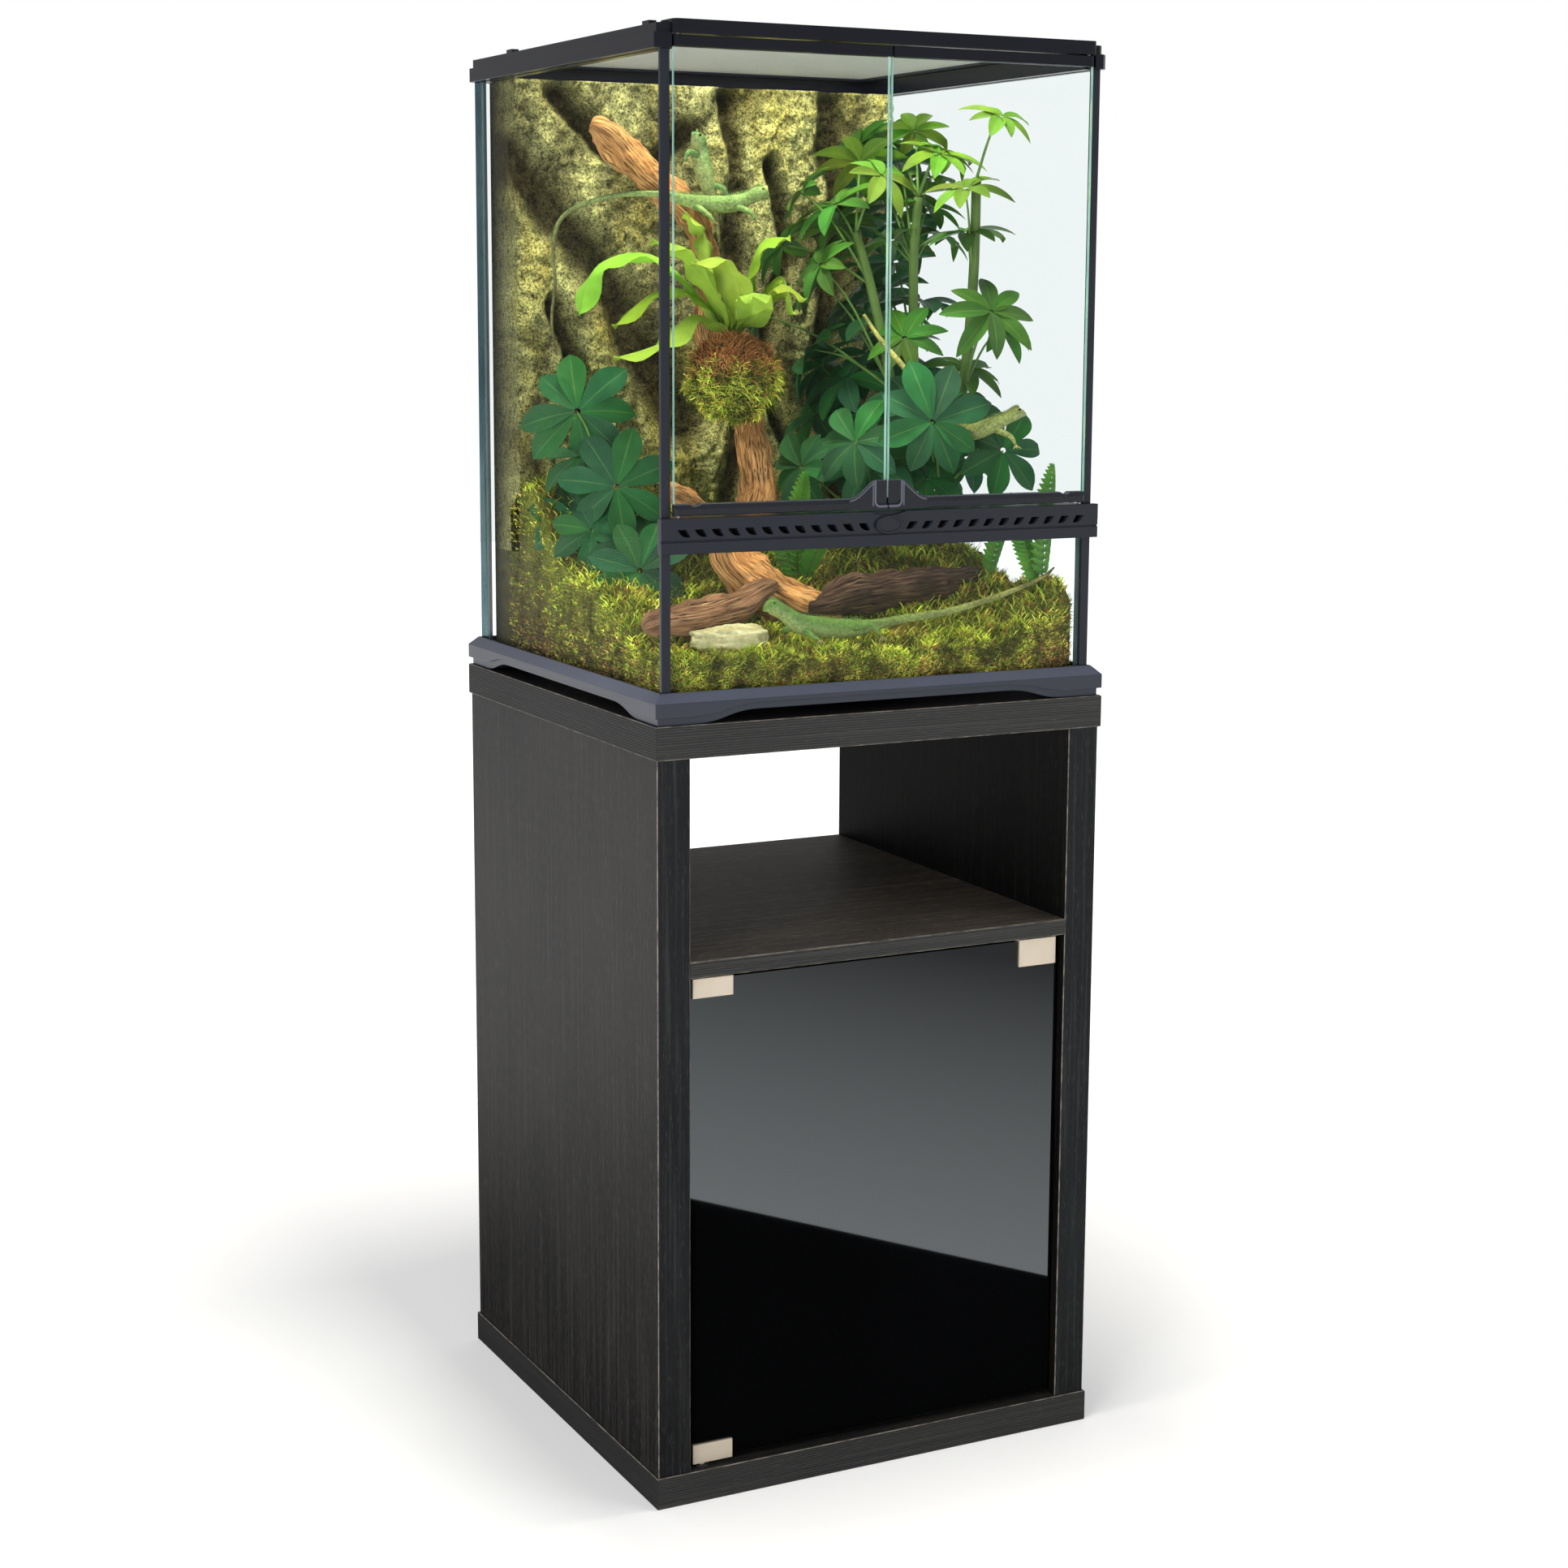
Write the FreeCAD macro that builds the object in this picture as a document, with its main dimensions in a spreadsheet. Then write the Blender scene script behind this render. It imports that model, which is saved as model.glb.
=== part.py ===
import FreeCAD, Part
import math
import os
import re

import Sketcher

# A front-opening glass terrarium on its open-topped cabinet.
# Origin: middle of the footprint, on the floor. +Z up, the doors face -Y. Millimetres.

Vector = FreeCAD.Vector
DOC = FreeCAD.newDocument("TerrariumOnStand")
SHEET = DOC.addObject("Spreadsheet::Sheet", "Sizes")
PIECES = []

DRIVING_SIZES = (
    # cabinet
    ("footprint", 460),
    ("stand_height", 720),
    ("board_thickness", 30),
    ("side_thickness", 32),
    ("side_inset", 2),
    ("edge_bevel", 0.8),
    ("shelf_top", 507),
    ("shelf_thickness", 15),
    ("back_thickness", 6),
    ("back_setback", 8),
    ("dowel_radius", 4),
    ("dowel_length", 30),
    ("dowel_spacing", 300),
    ("shelf_pin_radius", 2.5),
    ("shelf_pin_length", 16),
    ("peg_clearance", 0.05),
    # glass door of the cabinet
    ("door_recess", 9),
    ("door_glass", 5),
    ("door_gap", 3),
    ("door_bottom", 34.5),
    ("door_top", 488),
    ("clip_length", 40),
    ("clip_height", 18),
    ("strike_height", 26),
    ("clip_wall", 2.2),
    ("clip_inset", 2.5),
    ("clip_overrun", 1.5),
    ("pivot_inset", 13),
    ("pivot_radius", 3),
    ("bush_radius", 5),
    ("bush_flange_radius", 7),
    ("bush_depth", 8),
    ("screw_radius", 2),
    ("latch_width", 20),
    ("latch_depth", 50),
    ("latch_height", 14),
    ("latch_side_gap", 14),
    ("plunger_radius", 4),
    ("plunger_length", 17),
    ("plunger_travel", 4),
    ("running_gap", 0.3),
    # tank
    ("glass_inset", 10.5),
    ("glass", 5),
    ("floor_glass_lift", 13),
    ("base_height", 28),
    ("base_lip", 20),
    ("base_fascia_low", 7),
    ("base_fascia_high", 16),
    ("base_tier_inset", 3.5),
    ("base_arch", 10),
    ("base_opening", 205),
    ("foot_run", 190),
    ("arch_run", 130),
    ("vent_bottom", 149),
    ("vent_top", 180),
    ("vent_half_width", 223),
    ("vent_front", 227),
    ("vent_wall", 5),
    ("vent_groove", 1.6),
    ("vent_cavity", 208),
    ("vent_back", 203),
    ("slot_top", 170),
    ("slot_height", 6.2),
    ("slot_width", 8),
    ("slot_slant", 3.6),
    ("slot_pitch", 16.1),
    ("slot_first", 22),
    ("knob_height", 168),
    ("knob_half_width", 13.5),
    ("knob_half_height", 8),
    ("knob_thickness", 2.8),
    ("knob_stem_radius", 3),
    ("top_height", 595),
    ("top_rail_bottom", 574),
    ("top_overhang", 5.5),
    ("top_step", 3),
    ("top_step_height", 587),
    ("top_corner", 6),
    ("top_opening", 206),
    ("canopy_bottom", 586),
    ("canopy_top", 598),
    ("canopy_front", 229),
    ("canopy_half_width", 211),
    ("lid_seat", 590),
    ("lid_half_width", 214),
    ("lid_front", 200),
    ("lid_thickness", 4.6),
    ("lid_opening", 203),
    ("mesh_lift", 2),
    ("lid_clip_front_y", 195),
    ("lid_clip_back_y", 120),
    ("lid_clip_length", 8),
    ("lid_clip_width", 14),
    ("lid_clip_overlap", 1.5),
    ("lid_clip_slack", 0.5),
    ("lid_clip_gap", 0.1),
    ("mesh_thickness", 1),
    ("post_width", 8.5),
    ("post_depth", 4),
    ("door_axis_x", 205),
    ("door_axis_y", 222),
    ("door_pane", 4),
    ("door_middle_gap", 1),
    ("rail_radius", 5),
    ("lower_rail_bottom", 182),
    ("lower_rail_top", 192),
    ("upper_rail_bottom", 575.5),
    ("upper_rail_top", 585),
    ("door_pin_radius", 2),
    ("door_pin_length", 5.5),
    ("handle_front", 230),
    ("handle_top", 208),
    ("handle_half_top", 19),
    ("handle_half_base", 38),
    ("finger_half_width", 12.5),
    ("finger_bottom", 186),
    ("finger_wall", 3),
    ("seal", 5),
    # landscape
    ("soil_front", 56),
    ("soil_near", 66),
    ("soil_middle", 100),
    ("soil_back", 140),
    ("soil_front_y", 207),
    ("soil_near_y", 145),
    ("soil_middle_y", 40),
    ("landscape_half_width", 208),
    ("rock_front", 165),
    ("rock_back", 209),
    ("rock_top", 573.5),
)


# ---------------------------------------------------------------- the sheet

def fill_sheet():
    """Writes each driving size as plain text with its name as the cell's alias."""
    for row, (name, value) in enumerate(DRIVING_SIZES, start=1):
        SHEET.set(f"A{row}", name)
        SHEET.set(f"B{row}", str(value))
        SHEET.setAlias(f"B{row}", name)
    DOC.recompute()


def size(name):
    """A driving size, read back from the sheet."""
    return float(SHEET.get(name))


def bound(text):
    """An expression whose bare words are cells of the sheet."""
    return re.sub(r"[a-z]\w+", lambda word: "Sizes." + word.group(), str(text))


# ---------------------------------------------------------------- building blocks

def keep(piece, label):
    """Names a finished sub-part; its label is its file's name."""
    piece.Label = label
    PIECES.append(piece)
    return piece


def span(half):
    """A range that is symmetric about zero."""
    return (f"-({half})", f"{half}")


def box(name, x, y, z):
    """A block between two ends along each axis, every end an expression of the sheet."""
    block = DOC.addObject("Part::Box", name)
    for side, axis, (low, high) in zip(("Length", "Width", "Height"), "xyz", (x, y, z)):
        block.setExpression(side, bound(f"({high}) - ({low})"))
        block.setExpression(f"Placement.Base.{axis}", bound(low))
    return block


def rod(name, radius, length, at, axis="z"):
    """A cylinder from a point along +X, +Y or +Z."""
    cylinder = DOC.addObject("Part::Cylinder", name)
    turns = {"x": (Vector(0, 1, 0), 90), "y": (Vector(1, 0, 0), -90), "z": (Vector(0, 0, 1), 0)}
    cylinder.Placement = FreeCAD.Placement(Vector(), FreeCAD.Rotation(*turns[axis]))
    cylinder.setExpression("Radius", bound(radius))
    cylinder.setExpression("Height", bound(length))
    for letter, place in zip("xyz", at):
        cylinder.setExpression(f"Placement.Base.{letter}", bound(place))
    return cylinder


def group(name, members):
    """Several separate solids held as one object."""
    compound = DOC.addObject("Part::Compound", name)
    compound.Links = members
    return compound


def cut(name, base, tools):
    """The base with the tools taken out of it."""
    result = DOC.addObject("Part::Cut", name)
    result.Base = base
    result.Tool = tools[0] if len(tools) == 1 else join(name + "_tools", tools)
    return result


def join(name, members):
    """Members fused into one solid."""
    result = DOC.addObject("Part::MultiFuse", name)
    result.Shapes = members
    result.Refine = True
    return result


def mirrored(name, source):
    """The same piece on the other side of the middle plane x = 0."""
    result = DOC.addObject("Part::Mirroring", name)
    result.Source = source
    result.Normal = Vector(1, 0, 0)
    return result


def shaped(name, shape):
    """An object that holds a shape made directly."""
    feature = DOC.addObject("Part::Feature", name)
    feature.Shape = shape
    return feature


def sketch_on(body, name, plane, corners):
    """A closed outline of straight lines, its corners held by expressions of the sheet."""
    sketch = body.newObject("Sketcher::SketchObject", name)
    support = [item for item in body.Origin.OriginFeatures if item.Role == plane][0]
    sketch.AttachmentSupport = (support, [""])
    sketch.MapMode = "FlatFace"
    count = len(corners)
    ring = [Vector(100 * math.cos(2 * math.pi * n / count), 100 * math.sin(2 * math.pi * n / count), 0)
            for n in range(count)]
    for n in range(count):
        sketch.addGeometry(Part.LineSegment(ring[n], ring[(n + 1) % count]), False)
    for n in range(count):
        sketch.addConstraint(Sketcher.Constraint("Coincident", n, 2, (n + 1) % count, 1))
    for n, corner in enumerate(corners):
        for kind, start, place in zip(("DistanceX", "DistanceY"), ring[n], corner):
            number = sketch.addConstraint(Sketcher.Constraint(kind, -1, 1, n, 1, start))
            sketch.setExpression(f"Constraints[{number}]", bound(place))
    return sketch


def padded(name, plane, corners, length, symmetric=False):
    """A PartDesign body with one pad from a straight-sided outline."""
    body = DOC.addObject("PartDesign::Body", name)
    sketch = sketch_on(body, name + "_outline", plane, corners)
    pad = body.newObject("PartDesign::Pad", name + "_pad")
    pad.Profile = sketch
    pad.setExpression("Length", bound(length))
    if symmetric:
        pad.SideType = "Symmetric"
    sketch.Visibility = False
    DOC.recompute()
    return body, pad


def bevelled_board(name, half_x, half_y, bottom, thickness):
    """A rectangular board whose upper and lower edges are lightly bevelled."""
    corners = [(f"-({half_x})", f"-({half_y})"), (half_x, f"-({half_y})"),
               (half_x, half_y), (f"-({half_x})", half_y)]
    body, pad = padded(name, "XY_Plane", corners, thickness)
    level = [f"Edge{n}" for n, edge in enumerate(pad.Shape.Edges, start=1)
             if abs(edge.tangentAt(0).z) < 0.5]
    bevel = body.newObject("PartDesign::Chamfer", name + "_bevel")
    bevel.Base = (pad, level)
    bevel.setExpression("Size", bound("edge_bevel"))
    body.setExpression("Placement.Base.z", bound(bottom))
    return body


def bevelled(name, block, width, chosen):
    """A block with the edges that chosen picks bevelled."""
    DOC.recompute()
    bevel = DOC.addObject("Part::Chamfer", name)
    bevel.Base = block
    bevel.Edges = [(n, width, width) for n, edge in enumerate(block.Shape.Edges, start=1) if chosen(edge)]
    return bevel


def is_upright(edge):
    """True for an edge that runs up and down."""
    return abs(edge.tangentAt(0).z) > 0.5


# ---------------------------------------------------------------- cabinet

HALF = "footprint / 2"
PANEL_OUT = "(footprint / 2 - side_inset)"
PANEL_IN = "(footprint / 2 - side_inset - side_thickness)"
UPPER_BOARD_BOTTOM = "(stand_height - board_thickness)"
SHELF_BOTTOM = "(shelf_top - shelf_thickness)"


def dowel_rods(name, radius, bottom):
    """Four upright dowels, two in each side panel, at one level."""
    places = [(f"{side} * (footprint / 2 - side_inset - side_thickness / 2)",
               f"{end} * dowel_spacing / 2") for side in (-1, 1) for end in (-1, 1)]
    return [rod(f"{name}_{n}", radius, "dowel_length", (x, y, bottom))
            for n, (x, y) in enumerate(places)]


def shelf_pin_rods(name, radius):
    """Four level pins that the shelf lies on, driven into the side panels."""
    rods = []
    for side in (-1, 1):
        start = PANEL_IN + " - shelf_pin_length / 2"
        low = start if side > 0 else f"-({start}) - shelf_pin_length"
        for end in (-1, 1):
            place = (low, f"{end} * dowel_spacing / 2", f"{SHELF_BOTTOM} - shelf_pin_radius")
            rods.append(rod(f"{name}_{side}_{end}", radius, "shelf_pin_length", place, "x"))
    return rods


def build_cabinet():
    """Boards, panels, shelf, back and the dowels and pins that hold them together."""
    hole = "dowel_radius + peg_clearance"
    low_dowel = "board_thickness - dowel_length / 2"
    high_dowel = UPPER_BOARD_BOTTOM + " - dowel_length / 2"

    lower_bush = rod("lower_bush_hole", "bush_radius + peg_clearance", "bush_depth + 1",
                     (DOOR_PIVOT_X, DOOR_PIVOT_Y, "board_thickness - bush_depth"))
    board = bevelled_board("bottom_board_body", HALF, HALF, "0", "board_thickness")
    keep(cut("bottom_board_cut", board, dowel_rods("bottom_holes", hole, low_dowel) + [lower_bush]),
         "stand_bottom_board")

    board = bevelled_board("top_board_body", HALF, HALF, UPPER_BOARD_BOTTOM, "board_thickness")
    keep(cut("top_board_cut", board, dowel_rods("top_holes", hole, high_dowel)), "stand_top_board")

    panel = box("side_block", (f"-{PANEL_OUT}", f"-{PANEL_IN}"), span(PANEL_OUT),
                ("board_thickness", UPPER_BOARD_BOTTOM))
    panel = bevelled("side_bevel", panel, size("edge_bevel"), is_upright)
    holes = dowel_rods("side_low", hole, low_dowel) + dowel_rods("side_high", hole, high_dowel)
    pin_holes = shelf_pin_rods("side_pin_holes", "shelf_pin_radius + peg_clearance")
    left = cut("left_side_cut", panel, holes + pin_holes)
    keep(left, "stand_left_side")
    keep(mirrored("right_side_mirror", left), "stand_right_side")

    shelf = box("shelf_block", span(PANEL_IN), span(PANEL_OUT), (SHELF_BOTTOM, "shelf_top"))
    shelf = bevelled("shelf_bevel", shelf, size("edge_bevel"), lambda edge: abs(edge.tangentAt(0).x) > 0.5)
    upper_bush = rod("upper_bush_hole", "bush_radius + peg_clearance", "bush_depth + 1",
                     (DOOR_PIVOT_X, DOOR_PIVOT_Y, SHELF_BOTTOM + " - 1"))
    keep(cut("shelf_cut", shelf, [upper_bush]), "stand_shelf")

    back_out = f"({PANEL_OUT} - back_setback)"
    back_panel = box("back_panel", span(PANEL_IN), (f"{back_out} - back_thickness", back_out),
                     ("board_thickness", SHELF_BOTTOM))
    keep(back_panel, "stand_back_panel")

    dowels = dowel_rods("low_dowel", "dowel_radius", low_dowel)
    dowels += dowel_rods("high_dowel", "dowel_radius", high_dowel)
    keep(group("dowel_group", dowels), "stand_dowels")
    keep(group("pin_group", shelf_pin_rods("shelf_pin", "shelf_pin_radius")), "shelf_pins")


# ---------------------------------------------------------------- cabinet door

DOOR_FRONT = f"(door_recess - {PANEL_OUT})"
DOOR_BACK = f"(door_recess + door_glass - {PANEL_OUT})"
DOOR_EDGE = f"({PANEL_IN} - door_gap)"
DOOR_PIVOT_X = f"(pivot_inset - {DOOR_EDGE})"
DOOR_PIVOT_Y = f"(door_recess + door_glass / 2 - {PANEL_OUT})"
CLIP_FRONT = f"({DOOR_FRONT} - clip_wall)"
CLIP_BACK = f"({DOOR_BACK} + clip_wall)"


def door_clip(name, x, z, pane, pins):
    """A metal channel folded over the edge of the glass, with holes for its two grub screws."""
    channel = join(name + "_channel", [box(name + "_block", x, (CLIP_FRONT, CLIP_BACK), z)] + pins) \
        if pins else box(name + "_block", x, (CLIP_FRONT, CLIP_BACK), z)
    holes = clip_screw_rods(name + "_screw_hole", x, z, "screw_radius + peg_clearance")
    return cut(name + "_cut", channel, [pane] + holes)


def clip_screw_rods(name, x, z, radius):
    """Two grub screws through a clip's rear wall."""
    middle = f"(({z[0]}) + ({z[1]})) / 2"
    return [rod(f"{name}_{n}", radius, "clip_wall + 1",
                (f"({x[0]}) + clip_length * {share}", DOOR_BACK, middle), "y")
            for n, share in enumerate((0.3, 0.7))]


def flanged_bush(name, bottom, flange_bottom):
    """A nylon bush with a flange, bored for the pivot pin."""
    sleeve = rod(name + "_sleeve", "bush_radius", "bush_depth", (DOOR_PIVOT_X, DOOR_PIVOT_Y, bottom))
    flange = rod(name + "_flange", "bush_flange_radius", "1",
                 (DOOR_PIVOT_X, DOOR_PIVOT_Y, flange_bottom))
    bore = rod(name + "_bore", "pivot_radius + peg_clearance", "bush_depth + 4",
               (DOOR_PIVOT_X, DOOR_PIVOT_Y, f"{bottom} - 2"))
    return cut(name + "_cut", join(name + "_body", [sleeve, flange]), [bore])


def build_cabinet_door():
    """Dark glass door, its two pivot clips, strike plate, screws, bushes and touch latch."""
    pane = box("door_pane_block", span(DOOR_EDGE), (DOOR_FRONT, DOOR_BACK), ("door_bottom", "door_top"))
    keep(pane, "cabinet_door_glass")

    left = (f"clip_inset - {DOOR_EDGE}", f"clip_inset + clip_length - {DOOR_EDGE}")
    right = (f"{DOOR_EDGE} - clip_inset - clip_length", f"{DOOR_EDGE} - clip_inset")
    high = ("door_top + clip_overrun - clip_height", "door_top + clip_overrun")
    low = ("door_bottom - clip_overrun", "door_bottom - clip_overrun + clip_height")
    pivot = (DOOR_PIVOT_X, DOOR_PIVOT_Y)
    upper_pin = rod("upper_pivot", "pivot_radius", "bush_depth", pivot + (high[1],))
    lower_pin = rod("lower_pivot", "pivot_radius", "bush_depth", pivot + (f"{low[0]} - bush_depth",))
    keep(door_clip("upper_clip", left, high, pane, [upper_pin]), "door_clip_upper")
    keep(door_clip("lower_clip", left, low, pane, [lower_pin]), "door_clip_lower")
    plate = ("door_top + clip_overrun - strike_height", "door_top + clip_overrun")
    keep(door_clip("strike", right, plate, pane, []), "door_strike_plate")

    screws = clip_screw_rods("upper_screw", left, high, "screw_radius")
    screws += clip_screw_rods("lower_screw", left, low, "screw_radius")
    screws += clip_screw_rods("strike_screw", right, plate, "screw_radius")
    keep(group("clip_screw_group", screws), "clip_screws")

    keep(flanged_bush("upper_bush", SHELF_BOTTOM, SHELF_BOTTOM + " - 1"), "hinge_bush_upper")
    keep(flanged_bush("lower_bush", "board_thickness - bush_depth", "board_thickness"),
         "hinge_bush_lower")

    housing_x = (f"{DOOR_EDGE} - latch_side_gap - latch_width", f"{DOOR_EDGE} - latch_side_gap")
    housing_front = f"({CLIP_BACK} + running_gap + plunger_travel + 2.5)"
    housing = box("latch_block", housing_x, (housing_front, f"{housing_front} + latch_depth"),
                  (f"{SHELF_BOTTOM} - latch_height", SHELF_BOTTOM))
    middle = (f"{DOOR_EDGE} - latch_side_gap - latch_width / 2", f"{SHELF_BOTTOM} - latch_height / 2")
    cavity = rod("latch_cavity", "plunger_radius + peg_clearance", "plunger_length",
                 (middle[0], housing_front, middle[1]), "y")
    keep(cut("latch_housing_cut", housing, [cavity]), "latch_housing")
    plunger = rod("latch_rod", "plunger_radius", "plunger_length",
                  (middle[0], f"{CLIP_BACK} + running_gap", middle[1]), "y")
    keep(plunger, "latch_plunger")


# ---------------------------------------------------------------- tank frame and glass

GLASS_OUT = "(footprint / 2 - glass_inset)"
GLASS_IN = "(footprint / 2 - glass_inset - glass)"
GLASS_FLOOR = "(stand_height + floor_glass_lift + glass)"
GLASS_TOP = "(stand_height + top_rail_bottom + 6)"
POST_BACK = f"(post_depth - {GLASS_OUT})"


def s_curve(start, end):
    """Two equal arcs that leave both points level and meet halfway."""
    run = end.x - start.x
    rise = end.z - start.z
    radius = (run * run + rise * rise) / (4 * abs(rise))
    quarter = math.asin(abs(run) / 2 / radius) / 2
    step = Vector(math.copysign(radius * math.sin(quarter), run), 0,
                  math.copysign(radius * (1 - math.cos(quarter)), rise))
    middle = (start + end) / 2
    return [Part.Arc(start, start + step, middle).toShape(), Part.Arc(middle, end - step, end).toShape()]


def arch_cutter(name, outer_run, inner_run, low, high, across):
    """A tunnel under one pair of sides: level in the middle, falling in an S at both ends."""
    base = size("stand_height")
    reach = size("footprint")
    below = base - 5
    left_low = Vector(-outer_run, 0, base + low)
    left_high = Vector(-inner_run, 0, base + high)
    right_high = Vector(inner_run, 0, base + high)
    right_low = Vector(outer_run, 0, base + low)
    edges = s_curve(left_low, left_high)
    edges.append(Part.makeLine(left_high, right_high))
    edges += s_curve(right_high, right_low)
    edges.append(Part.makeLine(right_low, Vector(outer_run, 0, below)))
    edges.append(Part.makeLine(Vector(outer_run, 0, below), Vector(-outer_run, 0, below)))
    edges.append(Part.makeLine(Vector(-outer_run, 0, below), left_low))
    tunnel = Part.Face(Part.Wire(edges)).extrude(Vector(0, 2 * reach, 0))
    tunnel.translate(Vector(0, -reach, 0))
    if across:
        tunnel.rotate(Vector(), Vector(0, 0, 1), 90)
    return shaped(name, tunnel)


def build_base_frame():
    """The lower moulding: a bevelled fascia over a set-back tier with arched sides."""
    fascia = box("fascia_block", span(HALF), span(HALF),
                 ("stand_height + base_fascia_low", "stand_height + base_height"))
    DOC.recompute()
    rim = DOC.addObject("Part::Chamfer", "fascia_bevel")
    rim.Base = fascia
    rise = size("base_height") - size("base_lip")
    top = size("stand_height") + size("base_height")
    upper_edges = [n for n, edge in enumerate(fascia.Shape.Edges, start=1)
                   if abs(edge.CenterOfMass.z - top) < 0.01]
    rim.Edges = [(n, rise, rise) for n in upper_edges]
    waves = [arch_cutter(f"fascia_wave_{across}", size("foot_run") + 6, size("arch_run") - 5,
                         size("base_fascia_low"), size("base_fascia_high"), across)
             for across in (False, True)]
    outer = cut("fascia_cut", rim, waves)
    tier_half = f"({HALF} - base_tier_inset)"
    tier = box("tier_block", span(tier_half), span(tier_half),
               ("stand_height", "stand_height + base_lip"))
    arches = [arch_cutter(f"tier_arch_{across}", size("foot_run"), size("arch_run"),
                          0, size("base_arch"), across) for across in (False, True)]
    inner = cut("tier_cut", tier, arches)
    opening = box("base_opening_block", span("base_opening"), span("base_opening"),
                  ("stand_height - 1", "stand_height + base_height + 1"))
    pocket = box("base_pocket", span(GLASS_OUT), span(GLASS_OUT),
                 ("stand_height + floor_glass_lift", "stand_height + base_height + 1"))
    keep(cut("base_frame_cut", join("base_body", [outer, inner]), [opening, pocket]), "base_frame")


def build_panes():
    """Floor, side, back and lower front panes, the front posts and the silicone beads."""
    keep(box("floor_pane", span(GLASS_OUT), span(GLASS_OUT),
             ("stand_height + floor_glass_lift", GLASS_FLOOR)), "bottom_glass")
    upright = (GLASS_FLOOR, GLASS_TOP)
    left = box("left_pane", (f"-{GLASS_OUT}", f"-{GLASS_IN}"), (POST_BACK, GLASS_OUT), upright)
    keep(left, "left_glass")
    keep(mirrored("right_pane", left), "right_glass")
    keep(box("back_pane", span(GLASS_IN), (GLASS_IN, GLASS_OUT), upright), "back_glass")
    front_y = (POST_BACK, f"{POST_BACK} + glass")
    keep(box("front_pane", span(GLASS_IN), front_y, (GLASS_FLOOR, "stand_height + vent_bottom")),
         "front_lower_glass")

    post = box("left_post", (f"-{GLASS_OUT}", f"post_width - {GLASS_OUT}"),
               (f"-{GLASS_OUT}", POST_BACK), (GLASS_FLOOR, "stand_height + top_rail_bottom"))
    keep(post, "front_left_post")
    keep(mirrored("right_post", post), "front_right_post")

    beads = []
    for name, corner_y, inward, top in (
            ("back_bead", GLASS_IN, -1, "stand_height + top_rail_bottom"),
            ("front_bead", f"({POST_BACK} + glass)", 1, "stand_height + vent_bottom")):
        corners = [(f"-{GLASS_IN}", corner_y), (f"seal - {GLASS_IN}", corner_y),
                   (f"-{GLASS_IN}", f"{corner_y} + {inward} * seal")]
        if inward > 0:
            corners.reverse()
        bead, pad = padded(name, "XY_Plane", corners, f"{top} - {GLASS_FLOOR}")
        bead.setExpression("Placement.Base.z", bound(GLASS_FLOOR))
        beads += [bead, mirrored(name + "_right", bead)]
    keep(group("bead_group", beads), "corner_seals")


SLOT_COUNT = 12


def slot_cutter(name):
    """A raked vent slot with a level top, a raked side and a round underside."""
    top = size("stand_height") + size("slot_top")
    left = Vector(0, 0, top)
    right = Vector(size("slot_width"), 0, top)
    tip = Vector(size("slot_width") + size("slot_slant"), 0, top - size("slot_height"))
    belly = Vector(size("slot_width") * 0.4, 0, top - size("slot_height") * 0.72)
    edges = [Part.makeLine(left, right), Part.makeLine(right, tip), Part.Arc(tip, belly, left).toShape()]
    prism = Part.Face(Part.Wire(edges)).extrude(Vector(0, size("vent_wall") + 2, 0))
    return shaped(name, prism)


def build_vent_bar():
    """The bar under the doors, with its slots, its screen and the oval lock knob."""
    low, high = "stand_height + vent_bottom", "stand_height + vent_top"
    plate = box("vent_plate", span("vent_half_width"), ("-vent_front", f"-{GLASS_OUT}"), (low, high))
    channel_half = f"({GLASS_OUT} - post_width - 0.5)"
    channel = box("vent_channel", span(channel_half), (f"-{GLASS_OUT}", "-vent_back"), (low, high))
    body = join("vent_body", [plate, channel])

    cavity = box("vent_cavity_block", span("vent_cavity"), ("vent_wall - vent_front", "1 - vent_back"),
                 ("stand_height + slot_top - 12", "stand_height + slot_top + 3"))
    groove_top = "stand_height + slot_top - slot_height - 3"
    groove = box("vent_groove", span("vent_half_width + 1"), ("-vent_front - 1", "1.2 - vent_front"),
                 (f"{groove_top} - vent_groove", groove_top))
    scoop_half, scoop_depth = 19, 3.5
    scoop_radius = (scoop_half ** 2 + scoop_depth ** 2) / (2 * scoop_depth)
    scoop = rod("vent_scoop", str(scoop_radius), "4",
                ("0", "-vent_front - 1", f"stand_height + vent_top - {scoop_depth} + {scoop_radius}"), "y")
    stem_hole = rod("knob_hole", "knob_stem_radius + peg_clearance", "vent_wall + 2",
                    ("0", "-vent_front - 1", "stand_height + knob_height"), "y")
    pin_holes = [rod(f"pin_hole_{side}", "door_pin_radius + peg_clearance", "door_pin_length",
                     (f"{side} * door_axis_x", "-door_axis_y",
                      "stand_height + vent_top - door_pin_length + 0.5"))
                 for side in (-1, 1)]
    slots = []
    for number in range(SLOT_COUNT):
        slot = slot_cutter(f"slot_{number}")
        reach = size("slot_first") + size("slot_pitch") * number
        slot.Placement.Base = Vector(-reach - size("slot_width"), -size("vent_front") - 1, 0)
        slots.append(slot)
    left_slots = group("left_slots", slots)
    tools = [cavity, groove, scoop, stem_hole, left_slots, mirrored("right_slots", left_slots)]
    keep(cut("vent_cut", body, tools + pin_holes), "vent_bar")

    keep(box("vent_screen_plate", span("vent_cavity"), ("-vent_back - 2", "-vent_back - 1"),
             ("stand_height + slot_top - 12", "stand_height + slot_top + 3")), "vent_screen")
    keep(build_knob(), "lock_knob")


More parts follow.
